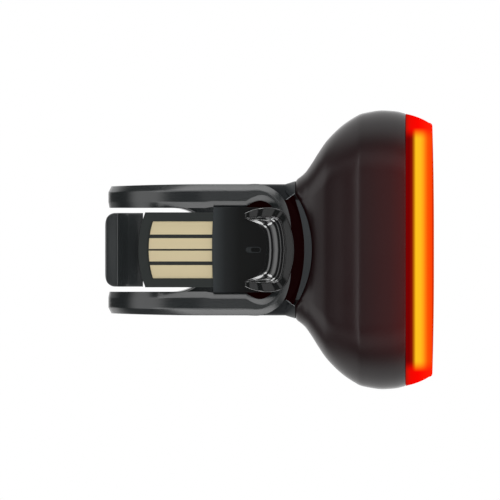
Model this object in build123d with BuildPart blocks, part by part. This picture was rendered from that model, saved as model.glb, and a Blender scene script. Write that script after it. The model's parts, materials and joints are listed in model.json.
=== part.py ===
from build123d import *
import os
from math import sqrt

# Bike rear light on a vertical seat post. Millimetres, +X the way the light shines, +Z up the post,
# origin at the centre of the post clamp. The strap hooks on the near side, which is -Y.
# A height "out" is a distance from the plane of the post's axis, measured along -Y on the near side.
os.makedirs("parts", exist_ok=True)

over = 1.0                     # how far cuts run past a face
fit_gap = 0.05                 # between pieces that are pressed or glued together
free_gap = 0.1                 # between pieces that must come apart

# Seat post and saddle
post_r = 13.6
saddle_r = post_r + fit_gap
saddle_half_z = 10.5
pad_t = 1.2
pad_half_y = 8.0
pad_groove_r = 0.45
pad_grooves = 5
pad_groove_step_deg = 12.0

# Casing: its sections are rounded rectangles along X
head_back = 13.8
head_length = 17.7
head_half_z = 22.3
head_half_y = 19.0
head_x_shares = (0.0, 0.09, 0.20, 0.34, 0.463, 0.60, 0.79, 1.0)
head_z_shares = (0.493, 0.529, 0.686, 0.839, 0.906, 0.966, 1.0, 0.973)
head_y_shares = (0.79, 0.82, 0.90, 0.953, 0.979, 0.992, 1.0, 0.979)
head_corner_shares = (0.26, 0.29, 0.42, 0.53, 0.58, 0.61, 0.63, 0.63)
shell_wall = 2.2
cavity_back = 18.1
cavity_stations = 6

# Lens
lens_length = 4.5
lens_waist_share = 0.4
lens_waist_in = 0.45
lens_front_in = 1.75
lens_edge_r = 0.9
lens_wall = 1.2
skirt_length = 1.3
rim_wall = 1.1                 # casing wall left round the skirt
gasket_t = 1.0

# Neck and the pockets round the hook
ear_out = post_r + free_gap
ear_tip_x = 3.5
neck_half_z = saddle_half_z
neck_corner = 0.8
flange_x = 12.2
pocket_reach = 2.7             # edge of the round pocket, past the casing's back
pocket_rim = 0.15
pocket_slope = 1.05
pocket_depth = 2.9
pocket_mouth_x = 12.3          # the pocket's upper and lower edges, between neck and casing
pocket_mouth_z = 8.0
lobe_in = 12.0
spigot_wall = 1.3              # beside the bore of the flat cable
spigot_gap = 0.8               # to the heads of the cover's screws
spigot_length = 3.8
spigot_corner = 2.0
ring_t = 0.7
ring_w = 0.9
ring_x = 16.5
saddle_wall = 1.4              # cover behind the liner

# Strap loop
strap_t = 2.3
strap_r = ear_out + free_gap
strap_out = strap_r + strap_t
band_in = 6.85
band_out = 10.5
band_edge_r = 0.75
band_end_x = 5.9
bend_inner_x = 11.5
bend_outer_x = 13.3
bend_shoulder_x = 11.84
bend_shoulder_z = 8.3
eye_x = 8.5                    # the strap bows out beside the hook's horns
eye_z = 8.1
eye_low_x = 10.9
eye_low_z = 6.2
slot_end_x = -5.9
bend_straight = 3.0
bend_low_x = 12.8
bend_low_z = 5.9
web_hole_r = 1.0

# Plug block and hook
block_left_x = 0.72
block_bulge = 0.24
block_gap = 0.25               # to the strap's bands
block_out = 17.0
block_edge_r = 0.5
hook_stem_x = 11.2
hook_root_x = 8.0
hook_gap = 0.25                # over the strap
hook_t = 2.65
cap_edge_r = 0.5
cap_x = 13.68
cap_horn_x = 5.76
cap_horn_z = 6.2
cap_half_z = 6.7
cap_mid_x = 8.48
cap_side_x = 11.3
cap_side_z = 6.3
cap_low_x = 13.0
cap_low_z = 3.9
dish_rim_x = 12.3
dish_rim_bend_x = 10.6
dish_rim_half_z = 5.1
dish_foot_x = 9.05
dish_foot_bend_x = 6.6
dish_foot_half_z = 4.9
window_x = 7.1
window_length = 2.6
window_w = 1.1

# Plug blade: a standard A plug's width and contact places
plug_half_z = 6.0
plug_t = 2.1
plug_out = 16.8
plug_tip_x = -11.3
plug_tip_sag = 1.1
plug_root_x = 4.2
plug_rim = 1.4
plug_recess = 0.5
contact_t = 0.2
contact_gap = 0.25
contact_zs = (-3.5, -1.0, 1.0, 3.5)
contact_ws = (2.1, 1.72, 1.72, 2.1)

# Rubber guard behind the plug
guard_t = 0.7
guard_half_z = 5.0
guard_root_x = 5.6
guard_hinge_x = 0.3
tab_left_x = -16.6
tab_right_x = -10.55
tab_half_z = 5.9
tab_flat = 2.2
tab_out = 17.3
tab_under = 14.6
tab_corner_r = 1.6
tab_dish_x = -11.8
tab_dish_sag = 0.6

# Flat cable from the plug to the main board
flex_t = 0.25
flex_half_z = 2.5
flex_slot_t = 0.75
flex_slot_half_z = 2.8
flex_out = 15.4
flex_stem_x = 9.0
flex_neck_x = 10.2
flex_neck_out = 12.4
flex_bore_x = 13.0
flex_bore_out = 9.0
flex_turn_x = 18.3
flex_in = 1.6                  # from the edge of the main board

# Cell, with the main board in front of it
foam_t = 0.5
foam_in = 2.8
foam_flex_gap = 0.6
cell_edge_r = 0.6
cell_gap = 2.0                 # to the board posts
cell_side_gap = 1.6            # to the flat cable
board_gap = 1.0
board_t = 1.0
board_in = 2.9                 # from the casing's wall
board_corner = 6.0
post_in = 3.7
boss_r = 2.2
spacer_length = 4.1
led_board_t = 0.8
chip_t = 1.2
# Chips on the board: place across, place up, width and height as shares of the board's half sizes
chip_shares = (
    (-0.35, 0.28, 0.42, 0.30),
    (0.38, 0.36, 0.26, 0.22),
    (0.30, -0.30, 0.34, 0.34),
    (-0.40, -0.42, 0.20, 0.16),
)

# Light strips on their white carrier, which fills the lens
tray_gap = 0.3
tray_wall = 1.0
strip_t = 0.6
strip_w = 2.0
front_strip_w = 2.6
front_strip_in = 3.5
front_strip_side_in = 6.1
front_strips = 3

# Power button in the top of the casing
button_half_x = 1.9
button_half_y = 4.6
button_flange = 0.6
button_flange_t = 0.8
button_drop = 3.4              # flange below the casing's crown
button_travel = 0.4
switch_half_y = 3.0
switch_h = 3.2
switch_depth = 2.8
plunger_r = 0.8
plunger_h = 0.9

# Screws
screw_r = 1.0
screw_hole_r = 1.05
screw_head_r = 1.9
screw_head_t = 1.2
cover_screw_gap = 0.4          # to the saddle's liner
cover_screw_in = 3.0           # from the upper and lower edges of the flange
cover_screw_grip = 2.0
board_screw_grip = 4.2
board_thread = 5.0
small_screw_r = 0.7
small_screw_hole_r = 0.75
small_head_r = 1.3
small_head_t = 0.6
housing_screw_x = 7.2
housing_screw_z = 4.6
housing_screw_skin = 0.65
housing_screw_grip = 2.0
anchor_screw_x = 10.4
anchor_screw_z = 4.2
anchor_screw_grip = 1.8
anchor_w = 6.2
anchor_h = 14.6
anchor_t = 1.3
anchor_corner = 1.2


# Round pockets in the sides of the neck, and the hook over the strap
pocket_edge_r = head_back + pocket_reach
pocket_top_r = pocket_edge_r - pocket_rim
pocket_floor_r = pocket_top_r - pocket_slope
hook_under = strap_out + hook_gap
hook_out = hook_under + hook_t
block_half_z = band_in - block_gap

# Insides, each set in from what holds it
head_front = head_back + head_length
rim_half_y = head_half_y * head_y_shares[-1]
rim_half_z = head_half_z * head_z_shares[-1]
rim_corner = head_half_y * head_corner_shares[-1]
skirt_half_y = rim_half_y - rim_wall
skirt_half_z = rim_half_z - rim_wall
skirt_corner = rim_corner - rim_wall
hollow_half_y = skirt_half_y - lens_wall
hollow_half_z = skirt_half_z - lens_wall
hollow_corner = skirt_corner - lens_wall
lens_front = head_front + lens_length
skirt_x = head_front - skirt_length
gasket_x = skirt_x - gasket_t
tray_half_y = hollow_half_y - tray_gap - strip_t
tray_half_z = hollow_half_z - tray_gap - strip_t
tray_corner = hollow_corner - tray_gap - strip_t
tray_front = lens_front - lens_wall - tray_gap - strip_t
strip_back_x = tray_front + strip_t - strip_w
side_strip_half_z = tray_half_z - free_gap
front_strip_half_z = tray_half_z - front_strip_in
front_strip_pitch = (2 * (tray_half_y - front_strip_side_in) - front_strip_w) / (front_strips - 1)
led_board_x = gasket_x + free_gap
tray_x = led_board_x + led_board_t
cell_x = cavity_back + foam_t
board_x = led_board_x - spacer_length - board_t
cell_t = board_x - board_gap - cell_x
chip_x = board_x + board_t
button_x = chip_x + switch_depth / 2
board_half_y = head_half_y - shell_wall - board_in
board_half_z = head_half_z - shell_wall - board_in
post_y = board_half_y - post_in
post_z = board_half_z - post_in
flex_side_out = board_half_y - flex_in
cell_half_y = flex_side_out - cell_side_gap
cell_half_z = post_z - boss_r - cell_gap
foam_half_y = flex_bore_out - foam_flex_gap
foam_half_z = cell_half_z - foam_in
flange_half_z = head_half_z * head_z_shares[0]
cover_screw_y = pad_half_y + cover_screw_gap + screw_r
cover_screw_z = flange_half_z - cover_screw_in
spigot_half_y = flex_bore_out + spigot_wall
spigot_half_z = cover_screw_z - screw_head_r - spigot_gap
button_flange_top = head_half_z - button_drop


def between(share, shares, values):
    """Height at a share of the way along a line of points."""
    for i in range(len(shares) - 1):
        if share <= shares[i + 1]:
            part_way = (share - shares[i]) / (shares[i + 1] - shares[i])
            return values[i] + part_way * (values[i + 1] - values[i])
    return values[-1]


def head_section(x, inset):
    """Rounded rectangle of the casing at x, drawn in by inset."""
    share = (x - head_back) / head_length
    half_y = head_half_y * between(share, head_x_shares, head_y_shares) - inset
    half_z = head_half_z * between(share, head_x_shares, head_z_shares) - inset
    corner = head_half_y * between(share, head_x_shares, head_corner_shares) - inset
    return rounded_plate(x, half_y, half_z, corner)


def rounded_plate(x, half_y, half_z, corner):
    """Rounded rectangle across the light at x."""
    with BuildSketch(Plane.YZ.offset(x)) as plate:
        RectangleRounded(2 * half_y, 2 * half_z, corner)
    return plate.sketch


def board_posts(x, radius):
    """Circles at the four posts that carry the boards."""
    with BuildSketch(Plane.YZ.offset(x)) as posts:
        with GridLocations(2 * post_y, 2 * post_z, 2, 2):
            Circle(radius)
    return posts.sketch


def side_disc(out, radius):
    """Disc about the post clamp's centre, facing the near side, or the far side if out is below zero."""
    with BuildSketch(Plane.XZ.offset(out)) as disc:
        Circle(radius)
    return disc.sketch


def flex_route(width):
    """Plan of the flat cable or of the slot for it, from the plug's root to the main board."""
    points = [
        (plug_root_x, -flex_out),
        (flex_stem_x, -flex_out),
        (flex_neck_x, -flex_neck_out),
        (flex_bore_x, -flex_bore_out),
        (flex_turn_x, -flex_bore_out),
        (flex_turn_x, -flex_side_out),
        (board_x, -flex_side_out),
    ]
    with BuildSketch(Plane.XY) as route:
        with BuildLine():
            Polyline(points)
        trace(line_width=width)
    return route.sketch


# Outer form of the casing, also used to trim what lies flush with it
with BuildPart() as head_form:
    loft([head_section(head_back + share * head_length, 0) for share in head_x_shares])

# Inside of the casing, with the four board posts left standing
cavity_step = (gasket_x - cavity_back) / (cavity_stations - 1)
with BuildPart() as head_cavity:
    loft([head_section(cavity_back + i * cavity_step, shell_wall) for i in range(cavity_stations)])
    extrude(board_posts(cavity_back, boss_r), amount=board_x - cavity_back, mode=Mode.SUBTRACT)

# Opening of the power button
button_under = button_flange_top - button_flange_t
with BuildPart() as button_opening:
    with BuildSketch(Plane.XY.offset(button_under)):
        with Locations((button_x, 0)):
            SlotOverall(2 * (button_half_y + free_gap), 2 * (button_half_x + free_gap), rotation=90)
    extrude(amount=head_half_z + over - button_under)

# Back of the saddle, which reaches into the casing behind the post
saddle_back_r = saddle_r + pad_t + saddle_wall

# Casing
with BuildPart() as head_shell:
    add(head_form.part)
    add(head_cavity.part, mode=Mode.SUBTRACT)
    skirt_seat = rounded_plate(gasket_x, skirt_half_y, skirt_half_z, skirt_corner)
    extrude(skirt_seat, amount=head_front - gasket_x + over, mode=Mode.SUBTRACT)
    seat_half_y = spigot_half_y + fit_gap
    seat_half_z = spigot_half_z + fit_gap
    spigot_seat = rounded_plate(head_back - over, seat_half_y, seat_half_z, spigot_corner)
    extrude(spigot_seat, amount=cavity_back - head_back + 2 * over, mode=Mode.SUBTRACT)
    extrude(side_disc(lobe_in, pocket_edge_r), amount=head_half_y, mode=Mode.SUBTRACT)
    extrude(side_disc(-lobe_in, pocket_edge_r), amount=-head_half_y, mode=Mode.SUBTRACT)
    Cylinder(saddle_back_r + fit_gap, 2 * flange_half_z, mode=Mode.SUBTRACT)
    add(button_opening.part, mode=Mode.SUBTRACT)
    with Locations(Plane.YZ.offset(cavity_back)):
        with GridLocations(2 * cover_screw_y, 2 * cover_screw_z, 2, 2):
            CounterBoreHole(screw_hole_r, screw_head_r + free_gap, screw_head_t + free_gap,
                            depth=cavity_back - head_back + over)
    extrude(board_posts(board_x, screw_r), amount=-board_thread, mode=Mode.SUBTRACT)
head_shell.part.label = "head_shell"
export_step(head_shell.part, "parts/head_shell.step")

# Lens with its skirt
with BuildPart() as lens:
    lens_waist_x = head_front + lens_waist_share * lens_length
    lens_edges = ((head_front, 0), (lens_waist_x, lens_waist_in), (lens_front, lens_front_in))
    lens_rings = []
    for x, inset in lens_edges:
        lens_rings.append(rounded_plate(x, rim_half_y - inset, rim_half_z - inset, rim_corner - inset))
    loft(lens_rings)
    fillet(lens.faces().sort_by(Axis.X)[-1].edges(), radius=lens_edge_r)
    skirt = rounded_plate(skirt_x, skirt_half_y - fit_gap, skirt_half_z - fit_gap, skirt_corner)
    extrude(skirt, amount=skirt_length)
    hollow = rounded_plate(skirt_x, hollow_half_y, hollow_half_z, hollow_corner)
    extrude(hollow, amount=lens_front - lens_wall - skirt_x, mode=Mode.SUBTRACT)
lens.part.label = "lens"
export_step(lens.part, "parts/lens.step")

with BuildPart() as lens_gasket:
    gasket = rounded_plate(gasket_x, skirt_half_y - fit_gap, skirt_half_z - fit_gap, skirt_corner)
    extrude(gasket, amount=gasket_t)
    extrude(hollow, amount=-gasket_t, mode=Mode.SUBTRACT)
lens_gasket.part.label = "lens_gasket"
export_step(lens_gasket.part, "parts/lens_gasket.step")

# Circuit board on the posts of the casing, and what it carries
with BuildPart() as main_board:
    extrude(rounded_plate(board_x, board_half_y, board_half_z, board_corner), amount=board_t)
    extrude(board_posts(board_x, screw_hole_r), amount=board_t, mode=Mode.SUBTRACT)
main_board.part.label = "main_board"
export_step(main_board.part, "parts/main_board.step")

with BuildPart() as board_parts:
    with BuildSketch(Plane.YZ.offset(chip_x)):
        for y_share, z_share, w_share, h_share in chip_shares:
            with Locations((y_share * board_half_y, z_share * board_half_z)):
                Rectangle(w_share * board_half_y, h_share * board_half_z)
    extrude(amount=chip_t)
board_parts.part.label = "board_parts"
export_step(board_parts.part, "parts/board_parts.step")

with BuildPart() as board_spacers:
    extrude(board_posts(chip_x, boss_r), amount=spacer_length)
    extrude(board_posts(chip_x, screw_hole_r), amount=spacer_length, mode=Mode.SUBTRACT)
board_spacers.part.label = "board_spacers"
export_step(board_spacers.part, "parts/board_spacers.step")

with BuildPart() as led_board:
    extrude(rounded_plate(led_board_x, tray_half_y, tray_half_z, tray_corner), amount=led_board_t)
    extrude(board_posts(led_board_x, screw_hole_r), amount=led_board_t, mode=Mode.SUBTRACT)
led_board.part.label = "led_board"
export_step(led_board.part, "parts/led_board.step")

with BuildPart() as board_screws:
    screw_tip_x = board_x - board_screw_grip
    extrude(board_posts(screw_tip_x, screw_r - fit_gap), amount=tray_x - screw_tip_x)
    extrude(board_posts(tray_x, screw_head_r), amount=screw_head_t)
board_screws.part.label = "board_screws"
export_step(board_screws.part, "parts/board_screws.step")

# White carrier and the light strips on its front and sides
with BuildPart() as light_tray:
    extrude(rounded_plate(tray_x, tray_half_y, tray_half_z, tray_corner), amount=tray_front - tray_x)
    inner_half_y = tray_half_y - tray_wall
    inner_half_z = tray_half_z - tray_wall
    tray_hollow = rounded_plate(tray_x, inner_half_y, inner_half_z, tray_corner - tray_wall)
    extrude(tray_hollow, amount=tray_front - tray_wall - tray_x, mode=Mode.SUBTRACT)
light_tray.part.label = "light_tray"
export_step(light_tray.part, "parts/light_tray.step")

with BuildPart() as front_emitters:
    with BuildSketch(Plane.YZ.offset(tray_front)):
        with GridLocations(front_strip_pitch, 0, front_strips, 1):
            SlotOverall(2 * front_strip_half_z, front_strip_w, rotation=90)
    extrude(amount=strip_t)
front_emitters.part.label = "front_emitters"
export_step(front_emitters.part, "parts/front_emitters.step")

with BuildPart() as side_emitters:
    with BuildSketch(Plane.YZ.offset(strip_back_x)):
        RectangleRounded(2 * (tray_half_y + strip_t), 2 * (tray_half_z + strip_t), tray_corner + strip_t)
        RectangleRounded(2 * tray_half_y, 2 * tray_half_z, tray_corner, mode=Mode.SUBTRACT)
        Rectangle(2 * (tray_half_y + over), 2 * side_strip_half_z, mode=Mode.INTERSECT)
    extrude(amount=strip_w)
side_emitters.part.label = "side_emitters"
export_step(side_emitters.part, "parts/side_emitters.step")

# Cell and the foam behind it
with BuildPart() as battery_cell:
    with BuildSketch(Plane.YZ.offset(cell_x)):
        Rectangle(2 * cell_half_y, 2 * cell_half_z)
    extrude(amount=cell_t)
    fillet(battery_cell.edges(), radius=cell_edge_r)
battery_cell.part.label = "battery_cell"
export_step(battery_cell.part, "parts/battery_cell.step")

with BuildPart() as battery_pad:
    with BuildSketch(Plane.YZ.offset(cavity_back)):
        Rectangle(2 * foam_half_y, 2 * foam_half_z)
    extrude(amount=cell_x - cavity_back)
battery_pad.part.label = "battery_pad"
export_step(battery_pad.part, "parts/battery_pad.step")

# Power button, its top is the casing's own skin
with BuildPart() as button_cap:
    with BuildSketch(Plane.XY.offset(button_flange_top)):
        with Locations((button_x, 0)):
            SlotOverall(2 * button_half_y, 2 * button_half_x, rotation=90)
    extrude(amount=head_half_z + over - button_flange_top)
    add(head_form.part, mode=Mode.INTERSECT)
    with BuildSketch(Plane.XY.offset(button_under)):
        with Locations((button_x, 0)):
            SlotOverall(2 * (button_half_y + button_flange), 2 * (button_half_x + button_flange),
                        rotation=90)
    extrude(amount=button_flange_t)
button_cap.part.label = "button_cap"
export_step(button_cap.part, "parts/button_cap.step")

switch_top = button_under - button_travel - free_gap
plunger_foot = button_under - plunger_h
with BuildPart() as tact_switch:
    with BuildSketch(Plane.XY.offset(switch_top - switch_h)):
        with Locations((button_x, 0)):
            Rectangle(switch_depth, 2 * switch_half_y)
    extrude(amount=switch_h)
    with BuildSketch(Plane.XY.offset(plunger_foot - button_travel - free_gap)):
        with Locations((button_x, 0)):
            Circle(plunger_r + fit_gap)
    extrude(amount=switch_h, mode=Mode.SUBTRACT)
tact_switch.part.label = "tact_switch"
export_step(tact_switch.part, "parts/tact_switch.step")

with BuildPart() as switch_plunger:
    with BuildSketch(Plane.XY.offset(plunger_foot)):
        with Locations((button_x, 0)):
            Circle(plunger_r)
    extrude(amount=plunger_h)
switch_plunger.part.label = "switch_plunger"
export_step(switch_plunger.part, "parts/switch_plunger.step")

# Screws from inside the casing into the neck
cover_head_x = cavity_back - free_gap
cover_tip_x = head_back - cover_screw_grip + free_gap
with BuildPart() as cover_screws:
    with BuildSketch(Plane.YZ.offset(cover_head_x)):
        with GridLocations(2 * cover_screw_y, 2 * cover_screw_z, 2, 2):
            Circle(screw_head_r)
    extrude(amount=-screw_head_t)
    with BuildSketch(Plane.YZ.offset(cover_head_x)):
        with GridLocations(2 * cover_screw_y, 2 * cover_screw_z, 2, 2):
            Circle(screw_r - fit_gap)
    extrude(amount=cover_tip_x - cover_head_x)
cover_screws.part.label = "cover_screws"
export_step(cover_screws.part, "parts/cover_screws.step")

# Ring in the groove of the neck's spigot
with BuildPart() as cover_seal:
    extrude(rounded_plate(ring_x, spigot_half_y, spigot_half_z, spigot_corner), amount=ring_w)
    ring_bore = rounded_plate(ring_x, spigot_half_y - ring_t, spigot_half_z - ring_t, spigot_corner - ring_t)
    extrude(ring_bore, amount=ring_w, mode=Mode.SUBTRACT)
cover_seal.part.label = "cover_seal"
export_step(cover_seal.part, "parts/cover_seal.step")

# Neck: ears round the post, flange, spigot into the casing and a round pocket on each side
with BuildPart() as neck_lobes:
    extrude(side_disc(lobe_in + fit_gap, pocket_edge_r - fit_gap), amount=head_half_y)
    mirror(about=Plane.XZ)
    add(head_form.part, mode=Mode.INTERSECT)

rising = (Align.CENTER, Align.CENTER, Align.MIN)
pocket_side_z = sqrt(pocket_top_r ** 2 - head_back ** 2)
with BuildPart() as neck_pockets:
    with Locations(Plane.XZ.offset(ear_out)):
        Cone(pocket_floor_r, pocket_top_r, pocket_depth, align=rising)
    with BuildSketch(Plane.XZ.offset(ear_out)):
        with BuildLine():
            Polyline((flange_x - over, 0), (flange_x - over, pocket_mouth_z),
                     (pocket_mouth_x, pocket_mouth_z), (head_back, pocket_side_z), (head_back, 0))
            mirror(about=Plane.XZ)
        make_face()
    extrude(amount=pocket_depth)
    mirror(about=Plane.XZ)

far_ear = Plane(origin=(0, ear_out, 0), x_dir=(1, 0, 0), z_dir=(0, 1, 0))
anchor_screw_places = [(anchor_screw_x, -anchor_screw_z), (anchor_screw_x, anchor_screw_z)]
near_ear = Plane(origin=(0, 0, 0), x_dir=(1, 0, 0), z_dir=(0, 1, 0))
housing_screw_places = [(housing_screw_x, -housing_screw_z), (housing_screw_x, housing_screw_z)]
flex_slot = flex_route(flex_slot_t)
with BuildPart() as back_cover:
    extrude(rounded_plate(ear_tip_x, ear_out, neck_half_z, neck_corner), amount=flange_x - ear_tip_x)
    loft([rounded_plate(flange_x, ear_out, neck_half_z, neck_corner), head_section(head_back, 0)], ruled=True)
    extrude(rounded_plate(head_back, spigot_half_y, spigot_half_z, spigot_corner), amount=spigot_length)
    add(neck_lobes.part)
    with BuildSketch(Plane.XY):
        Circle(saddle_back_r)
        with Locations((head_back, 0)):
            Rectangle(head_back, 2 * head_half_y, align=(Align.MIN, Align.CENTER), mode=Mode.INTERSECT)
    extrude(amount=flange_half_z - fit_gap, both=True)
    add(neck_pockets.part, mode=Mode.SUBTRACT)
    add(cover_seal.part, mode=Mode.SUBTRACT)
    with BuildSketch(Plane.XY):
        Circle(saddle_r + pad_t + fit_gap)
        Rectangle(2 * head_front, 2 * (pad_half_y + fit_gap), mode=Mode.INTERSECT)
        Circle(saddle_r)
    extrude(amount=neck_half_z + over, both=True, mode=Mode.SUBTRACT)
    extrude(flex_slot, amount=flex_slot_half_z, both=True, mode=Mode.SUBTRACT)
    with Locations(Plane.YZ.offset(head_back)):
        with GridLocations(2 * cover_screw_y, 2 * cover_screw_z, 2, 2):
            Hole(screw_r, depth=cover_screw_grip)
    with Locations(far_ear):
        with Locations(anchor_screw_places):
            Hole(small_screw_r, depth=anchor_screw_grip)
    with Locations(near_ear):
        with Locations(housing_screw_places):
            CounterBoreHole(small_screw_hole_r, small_head_r + fit_gap, ear_out - housing_screw_skin,
                            depth=ear_out + over)
back_cover.part.label = "back_cover"
export_step(back_cover.part, "parts/back_cover.step")

# Rubber liner of the saddle, with upright grooves
with BuildPart() as saddle_pad:
    with BuildSketch(Plane.XY):
        Circle(saddle_r + pad_t)
        Rectangle(head_front, 2 * pad_half_y, align=(Align.MIN, Align.CENTER), mode=Mode.INTERSECT)
        Circle(saddle_r, mode=Mode.SUBTRACT)
        groove_span = pad_groove_step_deg * (pad_grooves - 1)
        with PolarLocations(saddle_r, pad_grooves, start_angle=-groove_span / 2,
                            angular_range=groove_span, endpoint=True):
            Circle(pad_groove_r, mode=Mode.SUBTRACT)
    extrude(amount=saddle_half_z, both=True)
saddle_pad.part.label = "saddle_pad"
export_step(saddle_pad.part, "parts/saddle_pad.step")

# Plug block with the horseshoe hook over the strap's bend
plug_in = plug_out - plug_t
guard_in = ear_out + fit_gap


def dish_plan(out, apex_x, bend_x, half_z):
    """Open end of the horseshoe at a height: an arc from bend to bend, closed past the horns."""
    open_x = cap_horn_x - over
    with BuildSketch(Plane.XZ.offset(out)) as dish:
        with BuildLine():
            ThreePointArc((bend_x, -half_z), (apex_x, 0), (bend_x, half_z))
            Polyline((bend_x, half_z), (open_x, half_z), (open_x, -half_z), (bend_x, -half_z))
        make_face()
    return dish.sketch


with BuildPart() as usb_housing:
    with BuildSketch(Plane.XZ.offset(ear_out)):
        with BuildLine():
            ThreePointArc((block_left_x, -block_half_z), (block_left_x - block_bulge, 0),
                          (block_left_x, block_half_z))
            Line((block_left_x, block_half_z), (hook_root_x, block_half_z))
            ThreePointArc((hook_root_x, block_half_z), (hook_stem_x, 0), (hook_root_x, -block_half_z))
            Line((hook_root_x, -block_half_z), (block_left_x, -block_half_z))
        make_face()
    extrude(amount=block_out - ear_out)
    fillet(usb_housing.faces().sort_by(Axis.Y)[0].edges().sort_by(Axis.X)[0:3], radius=block_edge_r)
    with BuildSketch(Plane.XZ.offset(hook_under)):
        with BuildLine():
            ThreePointArc((cap_horn_x, cap_horn_z), (cap_mid_x, cap_half_z), (cap_side_x, cap_side_z))
            ThreePointArc((cap_side_x, cap_side_z), (cap_low_x, cap_low_z), (cap_x, 0))
            mirror(about=Plane.XZ)
            Line((cap_horn_x, cap_horn_z), (cap_horn_x, -cap_horn_z))
        make_face()
    extrude(amount=hook_out - hook_under)
    fillet(usb_housing.faces().sort_by(Axis.Y)[0].edges(), radius=cap_edge_r)
    dish_foot = dish_plan(block_out, dish_foot_x, dish_foot_bend_x, dish_foot_half_z)
    dish_rim = dish_plan(hook_out, dish_rim_x, dish_rim_bend_x, dish_rim_half_z)
    loft([dish_foot, dish_rim], ruled=True, mode=Mode.SUBTRACT)
    with BuildSketch(Plane.XZ.offset(plug_in - fit_gap)):
        with Locations((plug_root_x + fit_gap, 0)):
            Rectangle(2 * plug_root_x, 2 * (plug_half_z + fit_gap), align=(Align.MAX, Align.CENTER))
    extrude(amount=plug_t + 2 * fit_gap, mode=Mode.SUBTRACT)
    with BuildSketch(Plane.XZ.offset(ear_out)):
        with Locations((guard_root_x + fit_gap, 0)):
            Rectangle(2 * guard_root_x, 2 * (guard_half_z + fit_gap), align=(Align.MAX, Align.CENTER))
    extrude(amount=guard_t + 2 * fit_gap, mode=Mode.SUBTRACT)
    extrude(flex_slot, amount=flex_slot_half_z, both=True, mode=Mode.SUBTRACT)
    with BuildSketch(Plane.XZ.offset(flex_out)):
        with Locations((window_x, 0)):
            SlotOverall(window_length, window_w)
    extrude(amount=block_out - flex_out, mode=Mode.SUBTRACT)
    with Locations(near_ear):
        with Locations(housing_screw_places):
            Hole(small_screw_r, depth=ear_out + housing_screw_grip)
usb_housing.part.label = "usb_housing"
export_step(usb_housing.part, "parts/usb_housing.step")

housing_head_out = ear_out - housing_screw_skin - small_head_t
housing_tip_out = ear_out + housing_screw_grip - free_gap
with BuildPart() as housing_screws:
    with Locations(Plane.XZ.offset(housing_head_out)):
        with Locations(housing_screw_places):
            Cylinder(small_head_r, small_head_t, align=rising)
            Cylinder(small_screw_r - fit_gap, housing_tip_out - housing_head_out, align=rising)
housing_screws.part.label = "housing_screws"
export_step(housing_screws.part, "parts/housing_screws.step")

# Capsule window of the charge light, down to the flat cable
with BuildPart() as indicator_pipe:
    with BuildSketch(Plane.XZ.offset(flex_out + flex_t)):
        with Locations((window_x, 0)):
            SlotOverall(window_length - 2 * fit_gap, window_w - 2 * fit_gap)
    extrude(amount=block_out - flex_out - flex_t)
indicator_pipe.part.label = "indicator_pipe"
export_step(indicator_pipe.part, "parts/indicator_pipe.step")

# Plug blade: rim, sunk floor and four contacts, with a rounded tip
plug_tip_r = (plug_half_z ** 2 + plug_tip_sag ** 2) / (2 * plug_tip_sag)
plug_centre = (plug_tip_x + plug_tip_r, 0)
plug_floor = plug_out - plug_recess
with BuildPart() as usb_tongue:
    with BuildSketch(Plane.XZ.offset(plug_in)):
        with Locations(plug_centre):
            Circle(plug_tip_r)
        with Locations((plug_root_x, 0)):
            Rectangle(2 * (plug_root_x - plug_tip_x), 2 * plug_half_z, align=(Align.MAX, Align.CENTER),
                      mode=Mode.INTERSECT)
    extrude(amount=plug_t)
    with BuildSketch(Plane.XZ.offset(plug_floor)):
        with Locations(plug_centre):
            Circle(plug_tip_r - plug_rim)
        with Locations((plug_root_x - plug_rim, 0)):
            Rectangle(2 * (plug_root_x - plug_tip_x), 2 * (plug_half_z - plug_rim),
                      align=(Align.MAX, Align.CENTER), mode=Mode.INTERSECT)
    extrude(amount=plug_recess, mode=Mode.SUBTRACT)
usb_tongue.part.label = "usb_tongue"
export_step(usb_tongue.part, "parts/usb_tongue.step")

with BuildPart() as usb_contacts:
    for contact_z, contact_w in zip(contact_zs, contact_ws):
        with BuildSketch(Plane.XZ.offset(plug_floor)):
            with Locations(plug_centre):
                Circle(plug_tip_r - plug_rim - contact_gap)
            with Locations((plug_root_x - plug_rim - contact_gap, contact_z)):
                Rectangle(2 * (plug_root_x - plug_tip_x), contact_w, align=(Align.MAX, Align.CENTER),
                          mode=Mode.INTERSECT)
        extrude(amount=contact_t)
usb_contacts.part.label = "usb_contacts"
export_step(usb_contacts.part, "parts/usb_contacts.step")

with BuildPart() as usb_flex:
    extrude(flex_route(flex_t), amount=flex_half_z, both=True)
usb_flex.part.label = "usb_flex"
export_step(usb_flex.part, "parts/usb_flex.step")

# Rubber guard: its root lies in the block, the tongue and the finger tab bend away from the plug
with BuildPart() as guard_root:
    with BuildSketch(Plane.XZ.offset(guard_in)):
        with Locations((guard_root_x, 0)):
            Rectangle(guard_root_x - guard_hinge_x, 2 * guard_half_z, align=(Align.MAX, Align.CENTER))
    extrude(amount=guard_t)
guard_root.part.label = "guard_root"
export_step(guard_root.part, "parts/guard_root.step")

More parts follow.
